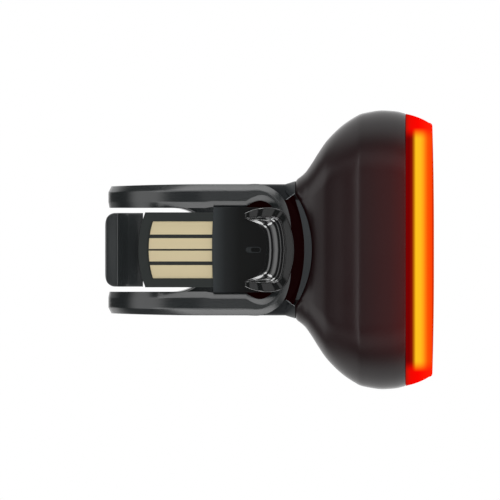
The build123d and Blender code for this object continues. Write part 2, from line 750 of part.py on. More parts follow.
guard_face = guard_in + guard_t
with BuildPart() as plug_guard:
    with BuildSketch(Plane.XY):
        with BuildLine():
            Polyline((tab_dish_x, -guard_face), (tab_right_x, -guard_face), (tab_right_x, -guard_in),
                     (tab_dish_x, -guard_in), (tab_left_x, -tab_under), (tab_left_x, -tab_out),
                     (tab_left_x + tab_flat, -tab_out))
            SagittaArc((tab_left_x + tab_flat, -tab_out), (tab_dish_x, -guard_face), tab_dish_sag)
        make_face()
    extrude(amount=tab_half_z, both=True)
    tab_corners = plug_guard.edges().filter_by(Axis.Y).group_by(Axis.X)[0]
    fillet(tab_corners, radius=tab_corner_r)
    tongue_x = guard_hinge_x - fit_gap
    with BuildSketch(Plane.XZ.offset(guard_in)):
        with Locations((tongue_x, 0)):
            Rectangle(tongue_x - tab_right_x, 2 * guard_half_z, align=(Align.MAX, Align.CENTER))
    extrude(amount=guard_t)
plug_guard.part.label = "plug_guard"
export_step(plug_guard.part, "parts/plug_guard.step")

# Strap: far half fixed on the far ear, near half of two bands, and the bend under the hook
with BuildPart() as strap_web:
    with BuildSketch(Plane.XY):
        Circle(strap_out)
        Circle(strap_r, mode=Mode.SUBTRACT)
        Rectangle(strap_out, strap_out, align=(Align.MAX, Align.MIN), mode=Mode.INTERSECT)
        with Locations((0, strap_r)):
            Rectangle(pocket_floor_r, strap_t, align=(Align.MIN, Align.MIN))
    extrude(amount=band_out, both=True)
    with BuildSketch(Plane.XZ) as slot_plan:
        with Locations((slot_end_x, 0)):
            Circle(band_in)
            Rectangle(strap_out, 2 * band_in, align=(Align.MAX, Align.CENTER))
    extrude(slot_plan.sketch, amount=-strap_out - over, mode=Mode.SUBTRACT)
    with BuildSketch(Plane.XZ) as web_plan:
        with Locations((-strap_out, 0)):
            Rectangle(strap_out + band_end_x, 2 * band_out, align=(Align.MIN, Align.CENTER))
        Circle(pocket_floor_r - 2 * free_gap)
    extrude(web_plan.sketch, amount=-strap_out - over, mode=Mode.INTERSECT)
    with Locations(far_ear):
        with Locations(anchor_screw_places):
            Cylinder(web_hole_r, 2 * strap_out, mode=Mode.SUBTRACT)
strap_web.part.label = "strap_web"
export_step(strap_web.part, "parts/strap_web.step")

band_w = band_out - band_in
with BuildPart() as strap_bands:
    with BuildLine() as band_path:
        band_start = (band_end_x, -strap_r - strap_t / 2, band_in + band_w / 2)
        band_turn = (0, -strap_r - strap_t / 2, band_in + band_w / 2)
        Line(band_start, band_turn)
        RadiusArc(band_turn, (-strap_r - strap_t / 2, 0, band_in + band_w / 2), strap_r + strap_t / 2)
    with BuildSketch(Plane(origin=band_start, x_dir=(0, 1, 0), z_dir=(-1, 0, 0))):
        RectangleRounded(strap_t, band_w, band_edge_r)
    sweep(path=band_path.line)
    mirror(about=Plane.XY)
strap_bands.part.label = "strap_bands"
export_step(strap_bands.part, "parts/strap_bands.step")

with BuildPart() as strap_end:
    with BuildSketch(Plane.XZ.offset(strap_r)):
        with BuildLine():
            Line((band_end_x, band_out), (band_end_x + bend_straight, band_out))
            Spline((band_end_x + bend_straight, band_out), (bend_shoulder_x, bend_shoulder_z),
                   (bend_low_x, bend_low_z), (bend_outer_x, 0), tangents=[(1, 0), (0, -1)])
            mirror(about=Plane.XZ)
            Spline((band_end_x, band_in), (eye_x, eye_z), (eye_low_x, eye_low_z), (bend_inner_x, 0),
                   (eye_low_x, -eye_low_z), (eye_x, -eye_z), (band_end_x, -band_in))
            Line((band_end_x, band_in), (band_end_x, band_out))
            Line((band_end_x, -band_in), (band_end_x, -band_out))
        make_face()
    extrude(amount=strap_t)
strap_end.part.label = "strap_end"
export_step(strap_end.part, "parts/strap_end.step")

# Plate and screws that hold the strap's fixed end
with BuildPart() as strap_anchor:
    with BuildSketch(far_ear.offset(strap_t + free_gap)):
        with Locations((anchor_screw_x, 0)):
            RectangleRounded(anchor_w, anchor_h, anchor_corner)
        with Locations(anchor_screw_places):
            Circle(small_screw_hole_r, mode=Mode.SUBTRACT)
    extrude(amount=anchor_t)
strap_anchor.part.label = "strap_anchor"
export_step(strap_anchor.part, "parts/strap_anchor.step")

with BuildPart() as anchor_screws:
    with BuildSketch(far_ear.offset(strap_t + free_gap + anchor_t)):
        with Locations(anchor_screw_places):
            Circle(small_head_r)
    extrude(amount=small_head_t)
    with BuildSketch(far_ear.offset(strap_t + free_gap + anchor_t)):
        with Locations(anchor_screw_places):
            Circle(small_screw_r - fit_gap)
    extrude(amount=free_gap - anchor_t - strap_t - anchor_screw_grip)
anchor_screws.part.label = "anchor_screws"
export_step(anchor_screws.part, "parts/anchor_screws.step")
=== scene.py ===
import json
from math import pi, radians
import bmesh
import bpy
import numpy as np
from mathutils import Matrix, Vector


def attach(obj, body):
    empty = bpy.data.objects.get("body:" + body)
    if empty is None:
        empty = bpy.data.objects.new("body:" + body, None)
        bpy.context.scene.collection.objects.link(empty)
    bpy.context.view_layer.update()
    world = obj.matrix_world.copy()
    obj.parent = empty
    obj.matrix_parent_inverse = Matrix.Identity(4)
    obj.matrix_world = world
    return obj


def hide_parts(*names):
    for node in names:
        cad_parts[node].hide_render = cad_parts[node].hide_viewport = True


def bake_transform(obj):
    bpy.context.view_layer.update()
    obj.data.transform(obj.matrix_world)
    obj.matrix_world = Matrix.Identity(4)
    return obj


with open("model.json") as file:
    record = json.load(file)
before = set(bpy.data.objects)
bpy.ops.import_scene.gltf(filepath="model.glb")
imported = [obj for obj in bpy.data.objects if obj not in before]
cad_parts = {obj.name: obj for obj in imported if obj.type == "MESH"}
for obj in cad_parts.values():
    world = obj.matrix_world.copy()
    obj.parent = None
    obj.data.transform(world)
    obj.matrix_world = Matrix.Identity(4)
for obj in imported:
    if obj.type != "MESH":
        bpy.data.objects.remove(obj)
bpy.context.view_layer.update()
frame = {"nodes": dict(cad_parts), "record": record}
mm = 0.001                     # shapes are worked out in millimetres, meshes are in metres
mergeAt = 1e-7                 # metres: points nearer to each other than this are one point
ringSteps = dict(corner=22, side=14)         # points of one corner and one side of a rounded ring


# Smooth curve through a few points: a piecewise cubic with slopes held down, so that it never overshoots
def smoothCurve(knots, values, at):
    knots = np.asarray(knots, float)
    values = np.asarray(values, float)
    at = np.clip(np.asarray(at, float), knots[0], knots[-1])
    step = np.diff(knots)
    rise = np.diff(values) / step
    left, right = rise[:-1], rise[1:]
    sameWay = left * right > 0
    safe = np.where(sameWay, left * right, 1.0)
    mean = np.where(sameWay, 2 * safe / np.where(sameWay, left + right, 1.0), 0.0)
    slope = np.concatenate([rise[:1], mean, rise[-1:]])
    i = np.clip(np.searchsorted(knots, at) - 1, 0, len(step) - 1)
    t = (at - knots[i]) / step[i]
    return ((1 + 2 * t) * (1 - t) ** 2 * values[i] + t * (1 - t) ** 2 * step[i] * slope[i]
            + t ** 2 * (3 - 2 * t) * values[i + 1] + t ** 2 * (t - 1) * step[i] * slope[i + 1])


# Share w of the way from start to end, soft at both ends: w squared times (3 - 2 w)
def smoothShare(value, start, end):
    w = np.clip((value - start) / (end - start), 0, 1)
    return w * w * (3 - 2 * w)


# Distance of each point of a path from its first point, measured along it
def lengthAlong(path):
    return np.concatenate([[0], np.cumsum(np.linalg.norm(np.diff(path, axis=0), axis=1))])


# Plan curve through a few points, evenly divided by length: a centripetal spline, one cubic a span
def throughPoints(points, count):
    p = np.asarray(points, float)
    p = np.vstack([2 * p[0] - p[1], p, 2 * p[-1] - p[-2]])
    gap = np.maximum(np.linalg.norm(np.diff(p, axis=0), axis=1) ** 0.5, 1e-9)
    t = np.concatenate([[0], np.cumsum(gap)])
    fine = np.linspace(t[1], t[-2], 1200)              # fine enough to measure lengths on
    i = np.clip(np.searchsorted(t, fine, side="right") - 1, 1, len(p) - 3)

    def mix(a, b, ta, tb):
        w = ((fine - ta) / (tb - ta))[:, None]
        return a * (1 - w) + b * w

    a1 = mix(p[i - 1], p[i], t[i - 1], t[i])
    a2 = mix(p[i], p[i + 1], t[i], t[i + 1])
    a3 = mix(p[i + 1], p[i + 2], t[i + 1], t[i + 2])
    b1 = mix(a1, a2, t[i - 1], t[i + 1])
    b2 = mix(a2, a3, t[i], t[i + 2])
    curve = mix(b1, b2, t[i], t[i + 1])
    along = lengthAlong(curve)
    at = np.linspace(0, along[-1], count)
    return np.stack([np.interp(at, along, curve[:, k]) for k in range(curve.shape[1])], axis=1)


# Rounded rectangle across X as (y, z) points: a quarter circle at each corner and a straight line to the
# next. It has as many points at every size, so rings join up.
def roundedRing(halfY, halfZ, corner):
    corner = min(corner, halfY - 1e-4, halfZ - 1e-4)
    quarter = np.linspace(0, pi / 2, ringSteps["corner"] + 1)
    arcs = []
    for k, (sy, sz) in enumerate(((1, 1), (-1, 1), (-1, -1), (1, -1))):
        a = quarter + k * pi / 2
        centre = np.array([sy * (halfY - corner), sz * (halfZ - corner)])
        arcs.append(centre + corner * np.stack([np.cos(a), np.sin(a)], axis=1))
    w = (np.arange(1, ringSteps["side"]) / ringSteps["side"])[:, None]
    ring = []
    for arc, following in zip(arcs, arcs[1:] + arcs[:1]):
        ring += [arc, arc[-1] * (1 - w) + following[0] * w]
    return np.concatenate(ring)


# One mesh from rows of closed loops, with quads between them. Ringed rows close on themselves, other rows
# end in a filled loop at both ends.
def meshFromRows(name, rows, sharpDeg, ringed=False):
    grid = np.asarray(rows)
    count, columns = grid.shape[:2]
    r, c = np.meshgrid(np.arange(count if ringed else count - 1), np.arange(columns), indexing="ij")
    r, nextR = r * columns, (r + 1) % count * columns
    nextC = (c + 1) % columns
    faces = np.stack([r + c, r + nextC, nextR + nextC, nextR + c], axis=-1).reshape(-1, 4).tolist()
    if not ringed:
        faces.append(list(range(columns)))
        faces.append(list(range((count - 1) * columns, count * columns)))
    mesh = bpy.data.meshes.new(name)
    mesh.from_pydata((grid.reshape(-1, 3) * mm).tolist(), [], faces)
    obj = bpy.data.objects.new(name, mesh)
    bpy.context.collection.objects.link(obj)
    finishMesh(obj, sharpDeg)
    return obj


# Merges doubles, turns the faces outwards and marks the edges steeper than an angle sharp
def finishMesh(obj, sharpDeg):
    work = bmesh.new()
    work.from_mesh(obj.data)
    bmesh.ops.remove_doubles(work, verts=work.verts, dist=mergeAt)
    bmesh.ops.dissolve_degenerate(work, edges=work.edges, dist=mergeAt)
    bmesh.ops.recalc_face_normals(work, faces=work.faces)
    for face in work.faces:
        face.smooth = True
    for edge in work.edges:
        edge.smooth = len(edge.link_faces) == 2 and edge.calc_face_angle(0) < radians(sharpDeg)
    work.to_mesh(obj.data)
    work.free()
    obj.data.update()


# Cuts one closed mesh out of another and drops the cutter
def cutWith(obj, cutter, sharpDeg):
    modifier = obj.modifiers.new("opening", "BOOLEAN")
    modifier.object = cutter
    modifier.operation = "DIFFERENCE"
    modifier.solver = "EXACT"
    bpy.context.view_layer.update()
    graph = bpy.context.evaluated_depsgraph_get()
    cut = bpy.data.meshes.new_from_object(obj.evaluated_get(graph))
    obj.modifiers.clear()
    obj.data = cut
    bpy.data.objects.remove(cutter)
    finishMesh(obj, sharpDeg)


# Depth of the grain's bump as a share of the grain's size. Then the roughness: size of its patches in mm,
# and the noise values where it is least and most
surface = dict(depth=0.2, patch=9.0, least=0.3, most=0.7)


# sRGB hex to linear red, green, blue, alpha
def linear(hexText):
    c = np.array([int(hexText[i:i + 2], 16) for i in (0, 2, 4)]) / 255
    c = np.where(c <= 0.04045, c / 12.92, ((c + 0.055) / 1.055) ** 2.4)
    return (*c.tolist(), 1.0)


# Adds one node. Settings are its properties or the values of its inputs, links its inputs' sources. A
# source of None leaves the input at its value.
def addNode(tree, kind, settings=None, links=None):
    made = tree.nodes.new("ShaderNode" + kind)
    for key, value in (settings or {}).items():
        if isinstance(key, int) or key in made.inputs:
            made.inputs[key].default_value = value
        else:
            setattr(made, key, value)
    for key, source in (links or {}).items():
        if source is not None:
            tree.links.new(source, made.inputs[key])
    return made


# New material with its main shader set to these values, and the object's coordinates to paint it by. Grain
# is its size in mm, the strength of its bump and the spread of the roughness.
def startMaterial(name, settings, grain=None):
    material = bpy.data.materials.new(name)
    material.use_nodes = True
    tree = material.node_tree
    shader = tree.nodes["Principled BSDF"]
    for key, value in settings.items():
        shader.inputs[key].default_value = value
    place = addNode(tree, "TexCoord").outputs["Object"]
    if grain:
        fineSurface(tree, shader, place, *grain)
    return material, tree, shader, place


# Grain of a moulded surface as bump, and roughness that wanders by spread about the shader's own value
def fineSurface(tree, shader, place, grain, strength, spread):
    roughness = shader.inputs["Roughness"].default_value
    noise = addNode(tree, "TexNoise", {"Scale": 1 / (grain * mm), "Detail": 3.0}, {"Vector": place})
    bump = addNode(tree, "Bump", {"Strength": strength, "Distance": grain * mm * surface["depth"]},
                   {"Height": noise.outputs["Fac"]})
    tree.links.new(bump.outputs["Normal"], shader.inputs["Normal"])
    cloud = addNode(tree, "TexNoise", {"Scale": 1 / (surface["patch"] * mm), "Detail": 2.0},
                    {"Vector": place})
    wander = addNode(tree, "MapRange", {
        "From Min": surface["least"], "From Max": surface["most"],
        "To Min": roughness - spread, "To Max": roughness + spread}, {"Value": cloud.outputs["Fac"]})
    tree.links.new(wander.outputs["Result"], shader.inputs["Roughness"])


# Colour that follows a value from low to high, in straight lines between stops of (value, hex)
def colourBy(tree, source, stops, low, high):
    share = addNode(tree, "MapRange", {"From Min": low, "From Max": high}, {"Value": source})
    made = addNode(tree, "ValToRGB", {}, {"Fac": share.outputs["Result"]})
    elements = made.color_ramp.elements
    while len(elements) < len(stops):
        elements.new(0.5)
    for element, (value, colour) in zip(elements, stops):
        element.position = (value - low) / (high - low)
        element.color = linear(colour)
    return made.outputs["Color"]


# Casing: satin moulded polycarbonate, smoked so dark that it looks black, with a red cast towards the lens
# from the lamp behind it. The glow is (place along X, colour) and fades over two heights, all in metres.
casing = dict(
    back=13.8, front=31.5,
    xs=(13.8, 15.3, 16.4, 17.4, 18.9, 21.5, 23.5, 24.1, 24.8, 27.8, 29.8, 31.5),
    zs=(11.06, 12.25, 13.75, 15.35, 17.5, 20.02, 21.34, 21.66, 21.88, 22.3, 22.18, 21.78),
    ys=(15.0, 15.6, 16.4, 16.98, 17.7, 18.4, 18.92, 19.0, 18.96, 18.75, 18.6, 18.45),
    corners=(4.4, 4.8, 5.6, 6.3, 7.2, 8.7, 9.7, 9.95, 10.2, 10.9, 11.0, 11.0),
    edgeR=16.5, blendIn=0.35, edgeRound=0.45, frontRound=0.25, wall=2.0,
    steps=72, edgeSteps=6, frontSteps=5, fineRings=240, passes=25, colour="110F10",
    glow=((0.0160, "0C0000"), (0.0194, "120001"), (0.0238, "1A0102"), (0.0258, "230203"),
          (0.0274, "2B0304"), (0.0290, "310304"), (0.0306, "3F0404"), (0.0313, "480605")),
    glowSpan=(0.016, 0.0317), glowFades=(0.0205, 0.0130), unlit="080000")
knownRings = {}                # rings of the casing by their inset, since each inset is asked for often


# Casing's outline across X: a rounded rectangle whose three sizes follow smooth curves along X
def casingRing(x, inset):
    sizes = (float(smoothCurve(casing["xs"], casing[k], x)) - inset for k in ("ys", "zs", "corners"))
    return roundedRing(*sizes)


# Points of the casing's ring where each has its own x: on a straight line between the nearest two rings
def casingPoints(x, inset):
    fine = np.linspace(casing["back"], casing["front"], casing["fineRings"])
    if inset not in knownRings:
        knownRings[inset] = np.stack([casingRing(v, inset) for v in fine])
    rings = knownRings[inset]
    place = np.interp(x, fine, np.arange(len(fine)))
    low = np.clip(place.astype(int), 0, len(fine) - 2)
    w = (place - low)[:, None]
    column = np.arange(rings.shape[1])
    return rings[low, column] * (1 - w) + rings[low + 1, column] * w


# Where the casing ends: at the flange, and on its sides at the pocket's circle about the post's axis. It is
# the larger x, blended: half the sum of both x and the root of (difference squared plus blendIn squared).
def rearEdge(z):
    arc = np.sqrt(np.maximum(casing["edgeR"] ** 2 - z ** 2, 0))
    return (casing["back"] + arc + np.sqrt((casing["back"] - arc) ** 2 + casing["blendIn"] ** 2)) / 2


# Height of the casing's face at x, at a distance from the middle plane: flat, then down the arc of its
# rounded corner. The height runs along the half size named up, the distance along the one named aside.
def casingHeight(x, distance, up, aside):
    high, wide, corner = (smoothCurve(casing["xs"], casing[k], x) for k in (up, aside, "corners"))
    past = np.clip(np.abs(distance) - (wide - corner), 0, corner * 0.99)
    return high - corner + np.sqrt(corner ** 2 - past ** 2)


# Skin as a tube with a wall: rings run from the rear edge to the lens outside, and back again inside. Both
# edges are rounded by quarter circles.
def buildCasing():
    edge = np.full(len(casingRing(casing["back"], 0)), casing["back"])
    for _ in range(casing["passes"]):                  # the edge's x depends on the z that it has there
        edge = rearEdge(casingPoints(edge, 0)[:, 1])
    r, f = casing["edgeRound"], casing["frontRound"]
    last = casing["front"] - f
    rear = np.linspace(pi / 2, 0, casing["edgeSteps"])
    front = np.linspace(0, pi / 2, casing["frontSteps"])[1:]
    rows = [(edge + r * (1 - np.sin(a)), r * (1 - np.cos(a))) for a in rear]
    rows += [((edge + r) * (1 - w) + last * w, 0) for w in np.linspace(0, 1, casing["steps"])[1:]]
    rows += [(last + f * np.sin(a), f * (1 - np.cos(a))) for a in front]
    rows += [(x, casing["wall"]) for x in (casing["front"], (edge + casing["front"]) / 2, edge)]
    grid = []
    for x, inset in rows:
        x = x + np.zeros(len(edge))
        grid.append(np.column_stack([x, casingPoints(x, inset)]))
    return meshFromRows("casingSkin", grid, 50, ringed=True)


# Smoked polycarbonate, satin. The lamp's light comes through ever redder towards the lens, but not at
# the crown and the keel
def makeCasingPlastic():
    material, tree, shader, place = startMaterial("smokedPolycarbonateSatin", {
        "Base Color": linear(casing["colour"]), "Roughness": 0.3, "IOR": 1.58, "Specular IOR Level": 0.38,
        "Emission Strength": 1.0}, (0.25, 0.12, 0.03))
    parts = addNode(tree, "SeparateXYZ", {}, {"Vector": place})
    glow = colourBy(tree, parts.outputs["X"], casing["glow"], *casing["glowSpan"])
    height = addNode(tree, "Math", {"operation": "ABSOLUTE"}, {0: parts.outputs["Z"]})
    dim, full = casing["glowFades"]
    middle = addNode(tree, "MapRange", {
        "interpolation_type": "SMOOTHSTEP", "From Min": dim, "From Max": full}, {"Value": height.outputs[0]})
    dark = addNode(tree, "RGB")
    dark.outputs[0].default_value = linear(casing["unlit"])
    lit = addNode(tree, "Mix", {"data_type": "RGBA"},
                  {"Factor": middle.outputs["Result"], "A": dark.outputs[0], "B": glow})
    tree.links.new(lit.outputs["Result"], shader.inputs["Emission Color"])
    return material


# Button: rubber key in the crown of the casing, flush with it in a slot with broken edges
button = dict(
    x=26.6, halfX=1.9, halfY=4.6, gap=0.14, edge=0.3, low=19.4, middle=0.01, slotLow=19.0,
    slotHigh=23.2, slotEdge=0.2, arcSteps=24, sideSteps=10, rings=10, edgeSteps=6)


# Plan outline: two half circles of radius halfX joined by straight sides along Y, as (x, y)
def capsule(halfX, halfY):
    centre = halfY - halfX
    a = np.linspace(0, pi, button["arcSteps"])
    far = np.column_stack([halfX * np.cos(a), centre + halfX * np.sin(a)])
    w = np.linspace(1, -1, button["sideSteps"] + 2)[1:-1]
    left = np.column_stack([np.full(len(w), -halfX), w * centre])
    return np.concatenate([far, left, -far, -left]) + (button["x"], 0)


# Outlines one inside the other, lifted to the casing's surface, with a rounded edge and a straight skirt
def buildButton():
    def ring(inset, drop):
        plan = capsule(button["halfX"] - inset, button["halfY"] - inset)
        return np.column_stack([plan, casingHeight(plan[:, 0], plan[:, 1], "zs", "ys") - drop])

    e = button["edge"]
    top = button["halfX"] - e - button["middle"]       # the last outline leaves a narrow middle
    skirt = ring(0, e)
    skirt[:, 2] = button["low"]
    quarter = np.linspace(0, pi / 2, button["edgeSteps"])
    rows = [skirt] + [ring(e * (1 - np.cos(a)), e * (1 - np.sin(a))) for a in quarter]
    rows += [ring(e + top * w, 0) for w in np.linspace(0, 1, button["rings"])[1:]]
    return meshFromRows("buttonKey", rows, 50)


# Cutter for the slot: a straight prism that flares where it meets the casing's surface
def buildButtonSlot():
    e = button["slotEdge"]
    inner, outer = (capsule(button["halfX"] + button["gap"] + v, button["halfY"] + button["gap"] + v)
                    for v in (0, 2 * e))
    rows = [(inner, np.full(len(inner), button["slotLow"])),
            (inner, casingHeight(inner[:, 0], inner[:, 1], "zs", "ys") - e),
            (outer, casingHeight(outer[:, 0], outer[:, 1], "zs", "ys") + e),
            (outer, np.full(len(outer), button["slotHigh"]))]
    return meshFromRows("buttonSlot", [np.column_stack(row) for row in rows], 50)


# Lens: clear red polycarbonate over lit strips. The glow is painted by place, in metres: a yellow band
# where the side strip is, orange in front of it, deep red over the dark frame, and three bars on the face
lens = dict(
    xs=(31.5, 32.4, 33.3, 34.4, 35.2), halfZs=(21.76, 21.55, 21.26, 20.79, 20.33),
    halfYs=(18.45, 18.35, 18.1, 17.75, 17.5), corner=11.0, leastCorner=0.02, edge=0.55, front=36.0,
    rims=(6.0, 0.8), sideRows=16, edgeSteps=7, domeRows=14, toMiddle=0.995,
    glowSpan=(0.0314, 0.0360),
    sideGlow=((0.0315, "780202"), (0.0320, "740000"), (0.0325, "841402"), (0.0328, "BE6E0A"),
              (0.0331, "FFC31E"), (0.0338, "FFBE1E"), (0.0343, "FFA017"), (0.0346, "FF7D10"),
              (0.0350, "FC5404"), (0.0356, "FC4005")),
    endGlow=((0.0315, "B81408"), (0.0323, "F00802"), (0.0335, "FE0500"), (0.0356, "FE2008")),
    barGlow=((0.0, "FFB428"), (0.0009, "FF8414"), (0.0016, "E81A04"), (0.004, "960402")),
    barHalfPitch=0.004, field="A00402", sides=(0.0196, 0.0176), barsAcross=(0.0125, 0.0105),
    barsUp=(0.0165, 0.0140), face=(0.03570, 0.03585))


# Side rings follow the tapering outline, then a rounded edge, then a shallow dome that rises with the
# square of the way to the middle. Behind, two rings close the rim.
def buildLens():
    def ring(x, halfY, halfZ):
        corner = max(lens["corner"] - lens["halfYs"][0] + halfY, lens["leastCorner"])
        plan = roundedRing(halfY, halfZ, corner)
        return np.column_stack([np.full(len(plan), x), plan])

    e, shoulder, front = lens["edge"], lens["xs"][-1], lens["front"]
    wide, high = lens["halfYs"][-1], lens["halfZs"][-1]
    rows = [ring(lens["xs"][0], lens["halfYs"][0] - v, lens["halfZs"][0] - v) for v in lens["rims"]]
    for x in np.linspace(lens["xs"][0], shoulder, lens["sideRows"]):
        rows.append(ring(x, *(float(smoothCurve(lens["xs"], lens[k], x)) for k in ("halfYs", "halfZs"))))
    for a in np.linspace(0, pi / 2, lens["edgeSteps"])[1:]:
        inset = e * (1 - np.cos(a))
        rows.append(ring(shoulder + e * np.sin(a), wide - inset, high - inset))
    for share in np.linspace(0, 1, lens["domeRows"])[1:]:
        inset = e + (wide - e) * share * lens["toMiddle"]
        rows.append(ring(front - (front - shoulder - e) * (1 - share) ** 2, wide - inset, high - inset))
    return meshFromRows("lensCap", rows, 50)


# Red polycarbonate: near black, so that its colour is its glow
def makeLensPlastic():
    material, tree, shader, place = startMaterial("redLensPolycarbonate", {
        "Base Color": linear("180101"), "Roughness": 0.25, "IOR": 1.58, "Specular IOR Level": 0.0,
        "Emission Strength": 1.0})
    parts = addNode(tree, "SeparateXYZ", {}, {"Vector": place})
    x = parts.outputs["X"]
    y, z = (addNode(tree, "Math", {"operation": "ABSOLUTE"}, {0: parts.outputs[k]}).outputs[0]
            for k in "YZ")
    shares = {}
    for name, source in (("sides", z), ("barsAcross", y), ("barsUp", z), ("face", x)):
        start, full = lens[name]
        window = addNode(tree, "MapRange", {
            "interpolation_type": "SMOOTHSTEP", "From Min": start, "From Max": full}, {"Value": source})
        shares[name] = window.outputs["Result"]
    side, ends = (colourBy(tree, x, lens[k], *lens["glowSpan"]) for k in ("sideGlow", "endGlow"))
    edge = addNode(tree, "Mix", {"data_type": "RGBA"}, {"Factor": shares["sides"], "A": ends, "B": side})
    fromBar = addNode(tree, "Math", {"operation": "PINGPONG", 1: lens["barHalfPitch"]}, {0: y})
    bar = colourBy(tree, fromBar.outputs[0], lens["barGlow"], 0.0, lens["barHalfPitch"])
    both = addNode(tree, "Math", {"operation": "MULTIPLY"}, {0: shares["barsAcross"], 1: shares["barsUp"]})
    field = addNode(tree, "RGB")
    field.outputs[0].default_value = linear(lens["field"])
    front = addNode(tree, "Mix", {"data_type": "RGBA"},
                    {"Factor": both.outputs[0], "A": field.outputs[0], "B": bar})
    glow = addNode(tree, "Mix", {"data_type": "RGBA"},
                   {"Factor": shares["face"], "A": edge.outputs["Result"], "B": front.outputs["Result"]})
    tree.links.new(glow.outputs["Result"], shader.inputs["Emission Color"])
    return material


# Strap: one moulded silicone loop. Its near half is two bands that meet in a bend under the hook, and its
# far half is a web.
strap = dict(
    inner=13.8, thick=2.3, bandIn=6.85, bandOut=10.5, slotX=-5.9, endR=15.1, bevel=0.98, outDepth=0.5,
    inDepth=0.18, flatness=1.92, lowEdge=0.45, widen=0.15, widenFrom=0.5, widenTo=-0.7, taper=0.33,
    bendIn=((5.9, 6.85), (7.0, 7.55), (8.2, 7.9), (9.3, 7.55), (10.3, 6.6), (11.2, 4.0), (11.5, 0.0)),
    bendOut=((5.9, 10.5), (8.2, 10.5), (9.9, 9.95), (11.84, 8.3), (12.8, 5.9), (13.2, 3.0),
             (13.3, 0.0)),
    bendSteps=44, wrapSteps=96, webSteps=40, pathSteps=200, cornerSteps=9, flatSteps=6)


# Distance along the strap of a place on its far half, from the point abreast of the post's axis: the arc of
# the loop's middle line, then the straight run
def strapLength(x):
    middle = strap["inner"] + strap["thick"] / 2
    wrap = -middle * (pi - np.arcsin(np.clip(-x / middle, -1, 1)))
    return np.where(x < 0, wrap, -middle * pi - x)


# Length s and height h to X and Y: straight on the near side, round the post, straight on the far side
def bendStrap(s, h):
    middle = strap["inner"] + strap["thick"] / 2
    r = strap["inner"] + h
    a = np.clip(-s / middle, 0, pi)
    x = np.where(s > 0, s, np.where(s < -pi * middle, -(s + pi * middle), -r * np.sin(a)))
    y = -r * np.cos(a)
    return x, y


# Section carried along the loop between an inner and an outer edge, which set its width: the bend under the
# hook, the bands, then the web with its round slot and round end. The outer edge draws in with x squared.
def buildStrap():
    inEdge, outEdge = ([throughPoints(strap[k], strap["bendSteps"])[::-1]] for k in ("bendIn", "bendOut"))

    def drawIn(x):
        return strap["taper"] * (np.minimum(x, 0) / strap["inner"]) ** 2

    slotS = float(strapLength(np.array(strap["slotX"])))
    run = np.linspace(strap["bendIn"][0][0], slotS, strap["wrapSteps"])[1:-1]
    inZ = strap["bandIn"] - strap["widen"] * smoothShare(run, strap["widenFrom"], strap["widenTo"])
    inEdge.append(np.column_stack([run, inZ]))
    outEdge.append(np.column_stack([run, strap["bandOut"] - drawIn(bendStrap(run, 0)[0])]))

    share = np.linspace(0, 1, strap["webSteps"])
    a = share * pi / 2
    slotR = strap["bandIn"] - strap["widen"]
    inEdge.append(np.column_stack([strapLength(strap["slotX"] + slotR * np.sin(a)), slotR * np.cos(a)]))
    cornerX = np.sqrt(strap["endR"] ** 2 - strap["bandOut"] ** 2)
    sideX = np.linspace(strap["slotX"], cornerX, strap["pathSteps"])
    turn = np.linspace(np.arcsin(strap["bandOut"] / strap["endR"]), 0, strap["pathSteps"])
    path = np.concatenate([np.column_stack([sideX, np.full(len(sideX), strap["bandOut"])]),
                           strap["endR"] * np.column_stack([np.cos(turn), np.sin(turn)])])
    along = lengthAlong(path)
    webX, webZ = (np.interp(share * along[-1], along, path[:, k]) for k in (0, 1))
    outEdge.append(np.column_stack([strapLength(webX), webZ - drawIn(webX)]))

    loops = strapLoops(np.concatenate(inEdge), np.concatenate(outEdge))
    mirrored = loops[::-1][1:-1].copy()
    mirrored[:, :, 2] *= -1
    return meshFromRows("strapLoop", np.concatenate([loops, mirrored]), 60, ringed=True)


# Section at each place: from the inner edge over the top to the outer edge and back underneath. The top
# corners are curves flatter than an arc, near a bevel, and the lower ones small arcs.
def strapLoops(inner, outer):
    thick, bevel, low, f = (strap[k] for k in ("thick", "bevel", "lowEdge", "flatness"))
    width = np.linalg.norm(outer - inner, axis=1)[:, None]
    q = np.linspace(0, pi / 2, strap["cornerSteps"])
    w = np.linspace(0, 1, strap["flatSteps"] + 2)[1:-1]
    across = []
    height = []

    def add(fromIn, fromOut, h):
        across.append(fromIn + fromOut * width)
        height.append(np.full_like(width, h))

    for a in q:                                        # inner top corner
        add(bevel * (1 - np.cos(a) ** f), 0, thick - strap["inDepth"] * (1 - np.sin(a) ** f))
    for v in w:                                        # top
        add(bevel * (1 - v) - bevel * v, v, thick)
    for a in q[::-1]:                                  # outer top corner
        add(-bevel * (1 - np.cos(a) ** f), 1, thick - strap["outDepth"] * (1 - np.sin(a) ** f))
    for a in q:                                        # outer lower corner, towards the post
        add(-low * (1 - np.cos(a)), 1, low * (1 - np.sin(a)))
    for v in w[::-1]:                                  # underside
        add(low * (1 - v) - low * v, v, 0)
    for a in q[::-1]:                                  # inner lower corner
        add(low * (1 - np.cos(a)), 0, low * (1 - np.sin(a)))
    across = np.concatenate(across, axis=1) / width
    height = np.concatenate(height, axis=1)
    s = inner[:, :1] * (1 - across) + outer[:, :1] * across
    z = inner[:, 1:] * (1 - across) + outer[:, 1:] * across
    x, y = bendStrap(s, height)
    return np.stack([x, y, z], axis=-1)


# Black silicone rubber, moulded smooth: a soft broad shine and no visible grain
def makeSilicone(name, colour):
    return startMaterial(name, {"Base Color": linear(colour), "Roughness": 0.22, "IOR": 1.46,
                                "Specular IOR Level": 1.0}, (0.4, 0.03, 0.02))[0]


